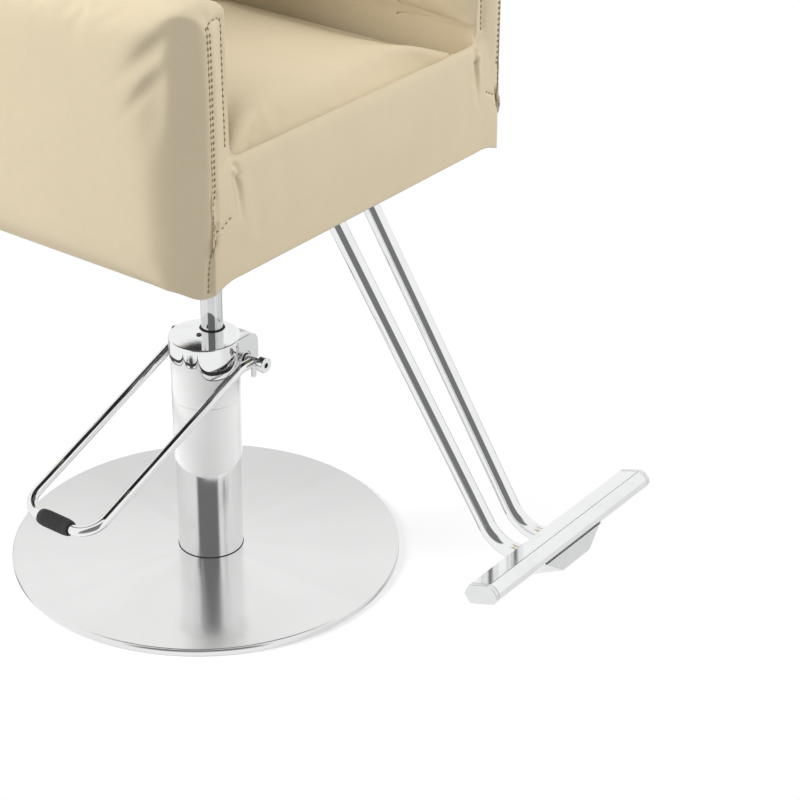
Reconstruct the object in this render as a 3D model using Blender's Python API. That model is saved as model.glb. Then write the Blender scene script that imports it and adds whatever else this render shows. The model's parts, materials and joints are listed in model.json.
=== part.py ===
"""Hairdressing chair: a padded armchair seat on a hydraulic pump, a round base, a foot lever and a footrest.

Metres, +Z up, +X to the front of the chair, +Y to the sitter's left. The ram's axis is the world Z axis.
The seat is modelled raised, as it stands in use.
"""
import math

import bmesh
import bpy
from mathutils import Matrix, Vector

# Clearances
GAP = 0.0003
RUN = 0.00015

# Base
BASE_X, BASE_Y = -0.002, -0.022
BASE_R = 0.260
COVER_EDGE_H = 0.009
COVER_RISE = 0.0012
COVER_T = 0.0015
PLATE_T = 0.006
RING_W = 0.008
BOLT_R = 0.004
BOLT_HEAD_R = 0.0075
BOLT_HEAD_H = 0.0027
FOOT_T = 0.010
FOOT_BOLT_PCD = 0.056

# Pump: its body stands off the ram's axis
BODY_X, BODY_Y = 0.0065, -0.0225
SLEEVE_R = 0.0432
SLEEVE_T = 0.0015
BODY_T = 0.0017
BODY_Z0 = 0.135
HEAD_Z0 = 0.235
CAP_TOP = 0.3215
CAP_T = 0.0025
CAP_LIP = 0.006
CAP_WALL = 0.0014
HEAD_TOP_GAP = 0.0015
# Lobes of the cap's skirt: start and end angle in degrees, depth below the cap's top
CAP_LOBES = ((-190.0, -130.0, 0.026), (-130.0, -85.0, 0.020), (-85.0, -60.0, 0.019), (-60.0, 10.0, 0.031))
OIL_SCREW_X, OIL_SCREW_Y, OIL_SCREW_R = 0.0015, -0.0275, 0.0035

# Ram
RAM_R = 0.0143
RAM_TOP = 0.573
RAM_Z0 = 0.226
PISTON_H = 0.016
CYLINDER_T = 0.0033
CYLINDER_TOP = 0.300
WIPER_W = 0.0018
WIPER_RISE = 0.0014

# Foot lever: its pivot runs along X
PIVOT_Y, PIVOT_Z = 0.006, 0.290
PIVOT_R = 0.005
BUSH_T = 0.0020
PIN_INSET = 0.018
EAR_R = 0.0095
EAR_REACH = 0.0455
# Lug of the cap round the front end of the pivot
LUG_X0, LUG_REACH = 0.022, 0.045
LUG_Y0, LUG_Y1, LUG_Z0 = -0.0105, 0.031, 0.270
LUG_CORNER_R = 0.016
LEVER_HALF = 0.0575
LEVER_ROD_R = 0.0065
LEVER_HUB_R = 0.0066
LEVER_HUB_L = 0.0224
LEVER_KNEE_Y = -0.019
LEVER_END_Y = -0.305
LEVER_SLOPE = math.radians(21.6)
LEVER_CORNER_R = 0.030
GRIP_T = 0.0035
GRIP_L = 0.050
CAP_SCREW_R = 0.0098
CAP_SCREW_T = 0.008
CAP_SCREW_BORE = 0.0035
TAB_L, TAB_W, TAB_T = 0.016, 0.008, 0.003

# Rocker and plunger inside the pump head
ROCKER_X0, ROCKER_X1 = 0.0203, 0.0303
ROCKER_HUB_R = 0.0070
NOSE_Y, NOSE_Z, NOSE_R = -0.0240, 0.286, 0.0045
POCKET_Z0 = 0.256
POCKET_CLEAR = 0.0007
PLUNGER_R = 0.0035
COLLAR_R, COLLAR_T = 0.0052, 0.004
PLUNGER_Z0 = 0.244
SPRING_WIRE_R = 0.0005
SPRING_TURNS = 5
SPRING_POINTS = 8

# Seat, on the ram
SEAT_BOTTOM = 0.554
SEAT_FRONT = 0.250
SEAT_HALF = 0.309
ARM_W = 0.079
SEAT_INNER = SEAT_HALF - ARM_W
ARM_BACK = -0.305
ARM_TOP = 0.885
ARM_EDGE_R = 0.032
SOCKET_R = 0.024
SOCKET_Z0 = 0.530
SEAT_PLATE = 0.180
SEAT_PLATE_T = 0.005
DUST_T = 0.0028
BOARD_T = 0.015
CUSHION_TOP = 0.690
CUSHION_CROWN = 0.012
PANEL_T = 0.012
PANEL_TOP = 0.694
PLATE_BOLT_SPAN = 0.140

# Back
BACK_X = -0.205
BACK_TILT = math.radians(8.0)
BACK_T = 0.080
BACK_H = 0.520
STRAP_T = 0.005
STRAP_W = 0.030
STRAP_Y = 0.150
STRAP_H = 0.200
STRAP_FOOT = 0.170
SHELL_T = 0.014

# Footrest, hung from the seat
TUBE_R = 0.0107
TUBE_TOP_Y, TUBE_LOW_Y = 0.0336, 0.0257
TUBE_TOP_X, TUBE_TOP_Z = 0.2232, 0.554
TUBE_LOW_X = 0.4676
TUBE_TAIL_Z = 0.1855
TUBE_BEND_R = 0.050
TUBE_INNER_X = 0.095
CLAMP_X0, CLAMP_X1, CLAMP_HALF, CLAMP_T = 0.118, 0.172, 0.058, 0.005
CLAMP_BOLT_X0, CLAMP_BOLT_X1 = 0.131, 0.159
BAR_X, BAR_Z = 0.540, 0.2152
BAR_L = 0.330
BAR_W, BAR_H = 0.046, 0.0236
BAR_FLAT, BAR_SIDE = 0.028, 0.012
BAR_TILT = math.radians(18.0)
END_CAP_T = 0.006
SOCKET_DEPTH = 0.010
# Bracket under the bar: its back, front top, front bottom and heel edges, and their half widths
TOE_BACK_X, TOE_TOP_X, TOE_LOW_X = 0.512, 0.5587, 0.5645
TOE_BACK_Z, TOE_TOP_Z, TOE_LOW_Z = 0.2005, 0.2125, 0.1882
TOE_TOP_HALF, TOE_LOW_HALF = 0.0633, 0.0284
TOE_HEEL_Z, TOE_HEEL_HALF = 0.166, 0.042
BAR_SCREW_Y = 0.0105
BAR_SCREW_R = 0.003
BAR_SCREW_HEAD_R = 0.006

# Heights worked out from the sizes above
FOOT_TOP = PLATE_T + GAP + FOOT_T
BODY_R = SLEEVE_R + GAP + BODY_T
HEAD_TOP = CAP_TOP - CAP_T - HEAD_TOP_GAP
CYLINDER_R = RAM_R + GAP + CYLINDER_T
PLATE_Z0 = RAM_TOP + GAP
DUST_Z0 = PLATE_Z0 + SEAT_PLATE_T + GAP
BOARD_Z0 = DUST_Z0 + DUST_T + GAP
BOARD_Z1 = BOARD_Z0 + BOARD_T
CUSHION_Z0 = BOARD_Z1 + GAP
BOARD_HALF = SEAT_INNER - 0.0004
BOARD_FRONT = SEAT_FRONT - PANEL_T - 0.0004
TUBE_RUN_Z = DUST_Z0 - GAP - TUBE_R
LEVER_END_Z = PIVOT_Z - (LEVER_KNEE_Y - LEVER_END_Y) * math.tan(LEVER_SLOPE)
COLLAR_TOP = NOSE_Z - NOSE_R - GAP
SPRING_TOP = COLLAR_TOP - COLLAR_T - GAP
SPRING_R = PLUNGER_R + GAP + SPRING_WIRE_R
PLUNGER_X = 0.5 * (ROCKER_X0 + ROCKER_X1)
STRAP_DEPTH = BACK_T + 0.0004
BOARD_REAR = BACK_X - STRAP_DEPTH / math.cos(BACK_TILT) + (BOARD_T + GAP) * math.tan(BACK_TILT) + 0.0004

# Colours: base colour, roughness, metallic
MATERIALS = {
    "chrome": ((0.78, 0.79, 0.80), 0.08, 1.0),
    "brushed_steel": ((0.66, 0.66, 0.66), 0.30, 1.0),
    "steel": ((0.42, 0.42, 0.43), 0.45, 1.0),
    "white_paint": ((0.80, 0.80, 0.79), 0.25, 0.0),
    "leatherette": ((0.60, 0.52, 0.36), 0.50, 0.0),
    "black_rubber": ((0.02, 0.02, 0.02), 0.70, 0.0),
    "black_cloth": ((0.02, 0.02, 0.02), 0.90, 0.0),
    "plywood": ((0.50, 0.35, 0.20), 0.70, 0.0),
    "aluminium": ((0.80, 0.80, 0.81), 0.18, 1.0),
    "brass": ((0.60, 0.42, 0.16), 0.30, 1.0),
}


def clear_scene():
    """Remove every object that the scene holds."""
    for item in list(bpy.data.objects):
        bpy.data.objects.remove(item, do_unlink=True)


def material(name):
    """The named material, made once."""
    found = bpy.data.materials.get(name)
    if found:
        return found
    colour, roughness, metallic = MATERIALS[name]
    made = bpy.data.materials.new(name)
    made.use_nodes = True
    shader = made.node_tree.nodes["Principled BSDF"]
    shader.inputs["Base Color"].default_value = (*colour, 1.0)
    shader.inputs["Roughness"].default_value = roughness
    shader.inputs["Metallic"].default_value = metallic
    return made


def finish(name, bm, finish_name, parent=None):
    """Turn a bmesh in world coordinates into a named object, its origin at its parent."""
    bmesh.ops.remove_doubles(bm, verts=bm.verts, dist=1e-6)
    bmesh.ops.recalc_face_normals(bm, faces=bm.faces)
    if parent:
        bmesh.ops.translate(bm, verts=bm.verts, vec=-parent.location)
    mesh = bpy.data.meshes.new(name)
    bm.to_mesh(mesh)
    bm.free()
    made = bpy.data.objects.new(name, mesh)
    mesh.materials.append(material(finish_name))
    bpy.context.scene.collection.objects.link(made)
    made.parent = parent
    return made


def joint_empty(name, place):
    """An empty that stands on a joint's axis and carries the pieces that move with it."""
    made = bpy.data.objects.new(name, None)
    made.location = place
    bpy.context.scene.collection.objects.link(made)
    return made


def turned(profile, place, segments):
    """A profile of (radius, height) points turned about the local Z axis of place."""
    bm = bmesh.new()
    verts = [bm.verts.new((radius, 0.0, height)) for radius, height in profile]
    edges = [bm.edges.new(pair) for pair in zip(verts, verts[1:])]
    if profile[0][0] > 0.0:
        edges.append(bm.edges.new((verts[-1], verts[0])))
    bmesh.ops.spin(bm, geom=verts + edges, cent=(0, 0, 0), axis=(0, 0, 1), angle=math.tau,
                   steps=segments, use_merge=True, use_duplicate=False)
    bmesh.ops.transform(bm, matrix=place, verts=bm.verts)
    return bm


def upright(x, y, z=0.0):
    """A frame that stands at a point with its Z axis up."""
    return Matrix.Translation((x, y, z))


def along_x(x, y, z, sign=1.0):
    """A frame whose Z axis runs along X, forwards or backwards."""
    return Matrix.Translation((x, y, z)) @ Matrix.Rotation(sign * math.pi / 2, 4, "Y")


def disc(radius, z0, z1, chamfer=0.0):
    """The profile of a solid disc, its top edge chamfered."""
    return [(0.0, z0), (radius, z0), (radius, z1 - chamfer), (radius - chamfer, z1), (0.0, z1)] if chamfer \
        else [(0.0, z0), (radius, z0), (radius, z1), (0.0, z1)]


def ring(inner, outer, z0, z1):
    """The profile of a plain ring."""
    return [(inner, z0), (outer, z0), (outer, z1), (inner, z1)]


def prism(outline, axis, low, high):
    """An outline extruded along X, Y or Z; its points are the other two coordinates in order."""
    def spot(pair, level):
        first, second = pair
        return {"X": (level, first, second), "Y": (first, level, second), "Z": (first, second, level)}[axis]
    bm = bmesh.new()
    face = bm.faces.new([bm.verts.new(spot(pair, low)) for pair in outline])
    grown = bmesh.ops.extrude_face_region(bm, geom=[face])
    top = [item for item in grown["geom"] if isinstance(item, bmesh.types.BMVert)]
    bmesh.ops.translate(bm, verts=top, vec=Vector(spot((0.0, 0.0), high - low)))
    return bm


def slab(x, y, z):
    """A box from three (low, high) pairs."""
    return prism([(x[0], y[0]), (x[1], y[0]), (x[1], y[1]), (x[0], y[1])], "Z", *z)


def cut(target, cutters):
    """Cut bmesh solids out of an object with EXACT Booleans."""
    for number, bm in enumerate(cutters):
        tool = finish(f"{target.name}_cutter_{number}", bm, "steel")
        tool.hide_render = True
        tool.display_type = "WIRE"
        modifier = target.modifiers.new(f"cut_{number}", "BOOLEAN")
        modifier.operation = "DIFFERENCE"
        modifier.solver = "EXACT"
        modifier.object = tool


def rounded_path(points, radius, steps=5):
    """A polyline with its inner corners rounded by arcs of one radius."""
    path = [Vector(points[0])]
    for before, corner, after in zip(points, points[1:], points[2:]):
        corner = Vector(corner)
        first = (Vector(before) - corner).normalized()
        second = (Vector(after) - corner).normalized()
        half = 0.5 * first.angle(second)
        centre = corner + (first + second).normalized() * radius / math.sin(half)
        start = corner + first * radius / math.tan(half) - centre
        end = corner + second * radius / math.tan(half) - centre
        sweep = start.angle(end)
        for step in range(steps + 1):
            part = step / steps
            blend = start * math.sin((1.0 - part) * sweep) + end * math.sin(part * sweep)
            path.append(centre + blend / math.sin(sweep))
    path.append(Vector(points[-1]))
    return path


def tube(name, path, radius, finish_name, parent=None, resolution=3):
    """A round bar along a path: a curve with a bevel and filled ends."""
    curve = bpy.data.curves.new(name, "CURVE")
    curve.dimensions = "3D"
    curve.bevel_depth = radius
    curve.bevel_resolution = resolution
    curve.use_fill_caps = True
    spline = curve.splines.new("POLY")
    spline.points.add(len(path) - 1)
    origin = parent.location if parent else Vector()
    for point, place in zip(spline.points, path):
        point.co = (*(place - origin), 1.0)
    made = bpy.data.objects.new(name, curve)
    curve.materials.append(material(finish_name))
    bpy.context.scene.collection.objects.link(made)
    made.parent = parent
    return made


def stops(half, radius, inner):
    """Places of a pad's edge loops along one axis: close together on the round edge."""
    edge = [half - radius * share for share in (0.0, 0.3, 1.0)]
    flat = half - radius
    middle = [flat * (2.0 * step / inner - 1.0) for step in range(1, inner)]
    return [-place for place in edge] + middle + edge[::-1]


def pad(size, radius, crown, swell, inner):
    """A cushion about its own centre: round edges, a crown on top and sides drawn in at the seams."""
    half = [0.5 * length for length in size]
    lines = [stops(half[axis], radius, inner[axis]) for axis in range(3)]
    bm = bmesh.new()
    made = {}

    def vertex(*index):
        if index in made:
            return made[index]
        place = Vector([lines[axis][index[axis]] for axis in range(3)])
        core = Vector([max(-h + radius, min(h - radius, p)) for h, p in zip(half, place)])
        away = place - core
        if away.length > 0.0:
            place = core + away.normalized() * radius
        share = [place[axis] / half[axis] for axis in range(3)]
        lift = (1.0 - share[0] ** 2) * (1.0 - share[1] ** 2)
        draw = 1.0 - swell * share[2] ** 2
        place.x *= draw
        place.y *= draw
        place.z += crown * lift * max(0.0, share[2])
        made[index] = bm.verts.new(place)
        return made[index]

    last = [len(line) - 1 for line in lines]
    for axis in range(3):
        one, two = [other for other in range(3) if other != axis]
        for side in (0, last[axis]):
            for i in range(last[one]):
                for j in range(last[two]):
                    corners = []
                    for di, dj in ((0, 0), (1, 0), (1, 1), (0, 1)):
                        index = [0, 0, 0]
                        index[axis] = side
                        index[one] = i + di
                        index[two] = j + dj
                        corners.append(vertex(*index))
                    bm.faces.new(corners)
    return bm


def moved(bm, matrix):
    """A bmesh, transformed."""
    bmesh.ops.transform(bm, matrix=matrix, verts=bm.verts)
    return bm


def foot_bolts():
    """Places of the four bolts that hold the pump to the base plate."""
    for number in range(4):
        angle = math.radians(45.0 + 90.0 * number)
        yield number + 1, BODY_X + 0.5 * FOOT_BOLT_PCD * math.cos(angle), \
            BODY_Y + 0.5 * FOOT_BOLT_PCD * math.sin(angle)


def build_base():
    """The round base: plate, domed cover, floor ring, pump foot and its bolts."""
    plate_r = BASE_R - COVER_T - GAP - RING_W - GAP
    plate = finish("base_plate", turned(disc(plate_r, 0.0, PLATE_T), upright(BASE_X, BASE_Y), 56), "steel")
    finish("floor_ring", turned(ring(plate_r + GAP, plate_r + GAP + RING_W, 0.0, PLATE_T - GAP),
                                upright(BASE_X, BASE_Y), 56), "black_rubber")
    top = [(BASE_R, 0.0004), (BASE_R, COVER_EDGE_H - 0.003), (BASE_R - 0.003, COVER_EDGE_H)]
    for step in range(1, 5):
        share = step / 4
        top.append(((BASE_R - 0.003) * (1.0 - share), COVER_EDGE_H + COVER_RISE * math.sin(0.5 * math.pi * share)))
    under = [(max(0.0, radius - COVER_T), height - COVER_T) for radius, height in reversed(top[2:])]
    under.extend([(BASE_R - COVER_T, COVER_EDGE_H - 0.003), (BASE_R - COVER_T, 0.0004)])
    cover = finish("base_cover", turned(top[::-1] + under[::-1], upright(BASE_X, BASE_Y), 56), "brushed_steel")
    cut(cover, [turned(disc(SLEEVE_R + GAP, -0.01, 0.05), upright(BODY_X, BODY_Y), 48)])
    foot = finish("pump_foot", turned(disc(SLEEVE_R - SLEEVE_T - GAP, PLATE_T + GAP, FOOT_TOP),
                                      upright(BODY_X, BODY_Y), 40), "steel")
    for number, x, y in foot_bolts():
        head_top = GAP + BOLT_HEAD_H
        profile = [(0.0, GAP), (BOLT_HEAD_R, GAP), (BOLT_HEAD_R, head_top), (BOLT_R, head_top),
                   (BOLT_R, FOOT_TOP - 0.003), (0.0, FOOT_TOP - 0.003)]
        finish(f"base_bolt_{number}", turned(profile, upright(x, y), 16), "steel")
        bore = [(0.0, -0.01), (BOLT_HEAD_R + GAP, -0.01), (BOLT_HEAD_R + GAP, head_top + GAP),
                (BOLT_R + GAP, head_top + GAP), (BOLT_R + GAP, FOOT_TOP - 0.003 + GAP),
                (0.0, FOOT_TOP - 0.003 + GAP)]
        cut(plate, [turned(bore, upright(x, y), 16)])
        plate.modifiers[-1].name = f"bolt_{number}"
        cut(foot, [turned(bore, upright(x, y), 16)])
        foot.modifiers[-1].name = f"bolt_{number}"


def skirt_depth(angle):
    """How far the cap's skirt hangs below its top at an angle in degrees, lobe by lobe."""
    for start, end, depth in CAP_LOBES:
        for turn in (angle, angle - 360.0):
            if start <= turn <= end:
                share = 2.0 * (turn - start) / (end - start) - 1.0
                return CAP_LIP + (depth - CAP_LIP) * math.sqrt(max(0.0, 1.0 - share ** 4))
    return CAP_LIP


def cap_shell(segments=96):
    """The pump cap about its own axis: a flat top and a skirt of hanging lobes."""
    inner = BODY_R + GAP
    outer = inner + CAP_WALL
    bm = bmesh.new()
    top = bm.verts.new((0.0, 0.0, CAP_TOP))
    under = bm.verts.new((0.0, 0.0, CAP_TOP - CAP_T))
    loops = []
    for step in range(segments):
        angle = math.tau * step / segments
        hem = CAP_TOP - skirt_depth(math.degrees(angle))
        profile = ((outer - 0.0015, CAP_TOP), (outer - 0.0004, CAP_TOP - 0.0005), (outer, CAP_TOP - 0.0018),
                   (outer, hem), (inner, hem), (inner, CAP_TOP - CAP_T))
        loops.append([bm.verts.new((radius * math.cos(angle), radius * math.sin(angle), height))
                      for radius, height in profile])
    for now, after in zip(loops, loops[1:] + loops[:1]):
        bm.faces.new((top, now[0], after[0]))
        for low, high in zip(range(5), range(1, 6)):
            bm.faces.new((now[low], now[high], after[high], after[low]))
        bm.faces.new((now[5], under, after[5]))
    return moved(bm, upright(BODY_X, BODY_Y))


def lug_outline():
    """The cap's lug as (y, z) points: flush with the cap's top, its back corner rounded."""
    points = [(LUG_Y0, LUG_Z0), (LUG_Y1, LUG_Z0)]
    for step in range(7):
        angle = 0.5 * math.pi * step / 6
        points.append((LUG_Y1 - LUG_CORNER_R * (1.0 - math.cos(angle)),
                       CAP_TOP - LUG_CORNER_R * (1.0 - math.sin(angle))))
    return points + [(LUG_Y0, CAP_TOP)]


def build_pump():
    """The fixed pump: sleeve, body, head, cap, cylinder, seals and the lever's bushes."""
    at_body = upright(BODY_X, BODY_Y)
    at_ram = upright(0.0, 0.0)
    finish("pump_sleeve", turned(ring(SLEEVE_R - SLEEVE_T, SLEEVE_R, PLATE_T + GAP, HEAD_Z0 - GAP),
                                 at_body, 56), "chrome")
    finish("pump_body", turned(ring(BODY_R - BODY_T, BODY_R, BODY_Z0, HEAD_Z0 - GAP), at_body, 56), "white_paint")
    finish("ram_cylinder", turned(ring(RAM_R + GAP, CYLINDER_R, FOOT_TOP + GAP, CYLINDER_TOP), at_ram, 40), "steel")
    head = finish("pump_head", turned(disc(BODY_R, HEAD_Z0, HEAD_TOP), at_body, 56), "white_paint")
    for side in (1.0, -1.0):
        ear = finish(f"pump_head_ear_{'right' if side < 0 else 'left'}",
                     turned(disc(EAR_R, 0.012, EAR_REACH), along_x(BODY_X, PIVOT_Y, PIVOT_Z, side), 32), "white_paint")
        ear.hide_render = True
        ear.display_type = "WIRE"
        join = head.modifiers.new("ear", "BOOLEAN")
        join.operation = "UNION"
        join.solver = "EXACT"
        join.object = ear
        start = EAR_REACH - PIN_INSET if side < 0 else ROCKER_X1 + POCKET_CLEAR - BODY_X
        bush = turned(ring(PIVOT_R + RUN, PIVOT_R + RUN + BUSH_T, start + GAP, EAR_REACH + GAP),
                      along_x(BODY_X, PIVOT_Y, PIVOT_Z, side), 28)
        finish(f"pivot_bush_{'back' if side < 0 else 'front'}", bush, "black_rubber")
        bore_start = start - (GAP if side < 0 else POCKET_CLEAR)
        cut(head, [turned(disc(PIVOT_R + RUN + BUSH_T + GAP, bore_start, 0.1),
                          along_x(BODY_X, PIVOT_Y, PIVOT_Z, side), 28)])
        head.modifiers[-1].name = "bush_bore_back" if side < 0 else "bush_bore_front"
    pocket = slab((ROCKER_X0 - POCKET_CLEAR, ROCKER_X1 + POCKET_CLEAR),
                  (NOSE_Y - NOSE_R - 4.0 * POCKET_CLEAR, PIVOT_Y + ROCKER_HUB_R + POCKET_CLEAR),
                  (POCKET_Z0, HEAD_TOP + 0.01))
    plunger_bore = turned(disc(PLUNGER_R + GAP, PLUNGER_Z0 - 0.0002 - 0.02, POCKET_Z0 + 0.01),
                          upright(PLUNGER_X, NOSE_Y), 20)
    cylinder_bore = turned([(0.0, HEAD_Z0 - 0.01), (CYLINDER_R + GAP, HEAD_Z0 - 0.01),
                            (CYLINDER_R + GAP, CYLINDER_TOP + GAP), (RAM_R + GAP, CYLINDER_TOP + GAP),
                            (RAM_R + GAP, HEAD_TOP + 0.01), (0.0, HEAD_TOP + 0.01)], at_ram, 40)
    cut(head, [cylinder_bore, pocket, plunger_bore])
    cap = finish("pump_cap", cap_shell(), "chrome")
    lug = finish("pump_cap_lug", prism(lug_outline(), "X", BODY_X + LUG_X0, BODY_X + LUG_REACH), "chrome")
    lug.hide_render = True
    lug.display_type = "WIRE"
    cut(lug, [turned(disc(BODY_R + GAP, 0.2, 0.4), at_body, 96),
              turned(disc(EAR_R + GAP, 0.0, 0.1), along_x(BODY_X, PIVOT_Y, PIVOT_Z), 32)])
    join = cap.modifiers.new("lug", "BOOLEAN")
    join.operation = "UNION"
    join.solver = "EXACT"
    join.object = lug
    wiper_r = RAM_R + RUN + WIPER_W
    cut(cap, [turned(disc(wiper_r + GAP, CAP_TOP - 0.03, CAP_TOP + 0.01), at_ram, 40)])
    finish("wiper_seal", turned(ring(RAM_R + RUN, wiper_r, HEAD_TOP + GAP, CAP_TOP + WIPER_RISE), at_ram, 40),
           "black_rubber")
    finish("oil_screw", turned(disc(OIL_SCREW_R, CAP_TOP + GAP, CAP_TOP + 0.0015, 0.0004),
                               upright(OIL_SCREW_X, OIL_SCREW_Y), 20), "steel")


def build_lever():
    """The U-shaped foot lever with its hubs, shaft, pin, rocker, grip and cap screws."""
    pivot = joint_empty("lever_pivot", (BODY_X, PIVOT_Y, PIVOT_Z))
    near, far = BODY_X + LEVER_HALF, BODY_X - LEVER_HALF
    start_y = PIVOT_Y - LEVER_HUB_R - GAP
    corners = [(near, start_y, PIVOT_Z), (near, LEVER_KNEE_Y, PIVOT_Z), (near, LEVER_END_Y, LEVER_END_Z),
               (far, LEVER_END_Y, LEVER_END_Z), (far, LEVER_KNEE_Y, PIVOT_Z), (far, start_y, PIVOT_Z)]
    tube("lever_rod", rounded_path(corners, LEVER_CORNER_R), LEVER_ROD_R, "chrome", pivot)
    inner = LEVER_ROD_R + GAP
    grip = turned(ring(inner, inner + GRIP_T, -0.5 * GRIP_L, 0.5 * GRIP_L),
                  along_x(BODY_X, LEVER_END_Y, LEVER_END_Z), 24)
    finish("lever_grip", grip, "black_rubber", pivot)
    hub_in = LEVER_HALF - 0.5 * LEVER_HUB_L
    hub_out = LEVER_HALF + 0.5 * LEVER_HUB_L
    for side, word in ((1.0, "front"), (-1.0, "back")):
        frame = along_x(BODY_X, PIVOT_Y, PIVOT_Z, side)
        finish(f"lever_hub_{word}", turned(ring(PIVOT_R + RUN, LEVER_HUB_R, hub_in, hub_out), frame, 28),
               "chrome", pivot)
        screw = [(0.0, hub_out + GAP), (CAP_SCREW_R, hub_out + GAP), (CAP_SCREW_R, hub_out + CAP_SCREW_T - 0.001),
                 (CAP_SCREW_R - 0.001, hub_out + CAP_SCREW_T), (CAP_SCREW_BORE, hub_out + CAP_SCREW_T),
                 (CAP_SCREW_BORE, hub_out + 0.4 * CAP_SCREW_T), (0.0, hub_out + 0.4 * CAP_SCREW_T)]
        finish(f"pivot_screw_{word}", turned(screw, frame, 28), "chrome", pivot)
    frame = along_x(BODY_X, PIVOT_Y, PIVOT_Z)
    finish("rocker_shaft", turned(disc(PIVOT_R, ROCKER_X0 - BODY_X, hub_out), frame, 24), "steel", pivot)
    frame = along_x(BODY_X, PIVOT_Y, PIVOT_Z, -1.0)
    finish("pivot_pin", turned(disc(PIVOT_R, EAR_REACH - PIN_INSET, hub_out), frame, 24), "steel", pivot)
    tab = slab((near - 0.5 * TAB_T, near + 0.5 * TAB_T), (PIVOT_Y - 0.5 * TAB_W, PIVOT_Y + 0.5 * TAB_W),
               (PIVOT_Z - LEVER_HUB_R - GAP - TAB_L, PIVOT_Z - LEVER_HUB_R - GAP))
    finish("release_tab", tab, "steel", pivot)
    rocker = []
    for step in range(13):
        angle = math.radians(-70.0 + 250.0 * step / 12)
        rocker.append((PIVOT_Y + ROCKER_HUB_R * math.cos(angle), PIVOT_Z + ROCKER_HUB_R * math.sin(angle)))
    for step in range(9):
        angle = math.radians(100.0 + 200.0 * step / 8)
        rocker.append((NOSE_Y + NOSE_R * math.cos(angle), NOSE_Z + NOSE_R * math.sin(angle)))
    arm = finish("rocker_arm", prism(rocker, "X", ROCKER_X0, ROCKER_X1), "steel", pivot)
    cut(arm, [turned(disc(PIVOT_R + RUN, 0.0, 0.05), along_x(BODY_X, PIVOT_Y, PIVOT_Z), 24)])


def build_plunger():
    """The pump plunger under the rocker's nose, and its return spring."""
    slide = joint_empty("plunger_slide", (PLUNGER_X, NOSE_Y, PLUNGER_Z0))
    frame = upright(PLUNGER_X, NOSE_Y)
    profile = [(0.0, PLUNGER_Z0), (PLUNGER_R, PLUNGER_Z0), (PLUNGER_R, COLLAR_TOP - COLLAR_T),
               (COLLAR_R, COLLAR_TOP - COLLAR_T), (COLLAR_R, COLLAR_TOP), (0.0, COLLAR_TOP)]
    finish("plunger", turned(profile, frame, 20), "steel", slide)
    low, high = POCKET_Z0 + GAP + SPRING_WIRE_R, SPRING_TOP - SPRING_WIRE_R
    count = SPRING_TURNS * SPRING_POINTS
    path = []
    for step in range(count + 1):
        angle = math.tau * step / SPRING_POINTS
        path.append(Vector((PLUNGER_X + SPRING_R * math.cos(angle), NOSE_Y + SPRING_R * math.sin(angle),
                            low + (high - low) * step / count)))
    tube("plunger_spring", path, SPRING_WIRE_R, "steel", None, 1)
    half_turn = SPRING_POINTS // 2
    least = min((a - b).length for i, a in enumerate(path) for b in path[i + half_turn:]) - 2.0 * SPRING_WIRE_R
    print(f"plunger_spring: least gap to itself {1000.0 * least:.2f} mm")


def build_ram():
    """The chrome ram and the piston on its lower end."""
    lift = joint_empty("ram_lift", (0.0, 0.0, RAM_Z0))
    finish("ram", turned(disc(RAM_R, RAM_Z0, RAM_TOP, 0.002), upright(0.0, 0.0), 40), "chrome", lift)
    finish("ram_piston", turned(disc(RAM_R, RAM_Z0 - GAP - PISTON_H, RAM_Z0 - GAP), upright(0.0, 0.0), 40),
           "brass", lift)


def bolt(name, x, y, head_z, top_z, head_r, shank_r, parent):
    """A bolt that goes up from below, its head hanging under head_z."""
    profile = [(0.0, head_z - 0.004), (head_r - 0.001, head_z - 0.004), (head_r, head_z - 0.003),
               (head_r, head_z), (shank_r, head_z), (shank_r, top_z), (0.0, top_z)]
    finish(name, turned(profile, upright(x, y), 14), "steel", parent)


def bolt_hole(x, y, shank_r, low, high):
    """A clearance hole for a bolt."""
    return turned(disc(shank_r + GAP, low, high), upright(x, y), 14)


def build_seat(seat):
    """The seat's structure: socket, plate, dust cover, board and bolts."""
    socket = ring(RAM_R + RUN, SOCKET_R, SOCKET_Z0, RAM_TOP)
    finish("seat_socket", turned(socket, upright(0.0, 0.0), 40), "steel", seat)
    half = 0.5 * SEAT_PLATE
    plate = finish("seat_plate", slab((-half, half), (-half, half), (PLATE_Z0, PLATE_Z0 + SEAT_PLATE_T)), "steel", seat)
    dust = finish("dust_cover", slab((BOARD_REAR + 0.030, BOARD_FRONT), (-BOARD_HALF, BOARD_HALF),
                                     (DUST_Z0, DUST_Z0 + DUST_T)), "black_cloth", seat)
    board = finish("seat_board", slab((BOARD_REAR, BOARD_FRONT), (-BOARD_HALF, BOARD_HALF),
                                      (BOARD_Z0, BOARD_Z1)), "plywood", seat)
    span = 0.5 * PLATE_BOLT_SPAN
    low, high = PLATE_Z0 - 0.02, BOARD_Z1 - 0.003
    number = 0
    for x in (-span, span):
        for y in (-span, span):
            number += 1
            bolt(f"plate_bolt_{number}", x, y, PLATE_Z0 - GAP, high, BOLT_HEAD_R, BOLT_R, seat)
            for target in (plate, dust, board):
                cut(target, [bolt_hole(x, y, BOLT_R, low, high + GAP)])
                target.modifiers[-1].name = f"plate_bolt_{number}"
    for number, x in enumerate((CLAMP_BOLT_X0, CLAMP_BOLT_X1), 1):
        head = TUBE_RUN_Z - TUBE_R - GAP - CLAMP_T - GAP
        bolt(f"clamp_bolt_{number}", x, 0.0, head, high, BOLT_HEAD_R, BOLT_R, seat)
        for target in (dust, board):
            cut(target, [bolt_hole(x, 0.0, BOLT_R, low, high + GAP)])
            target.modifiers[-1].name = f"clamp_bolt_{number}"


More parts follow.
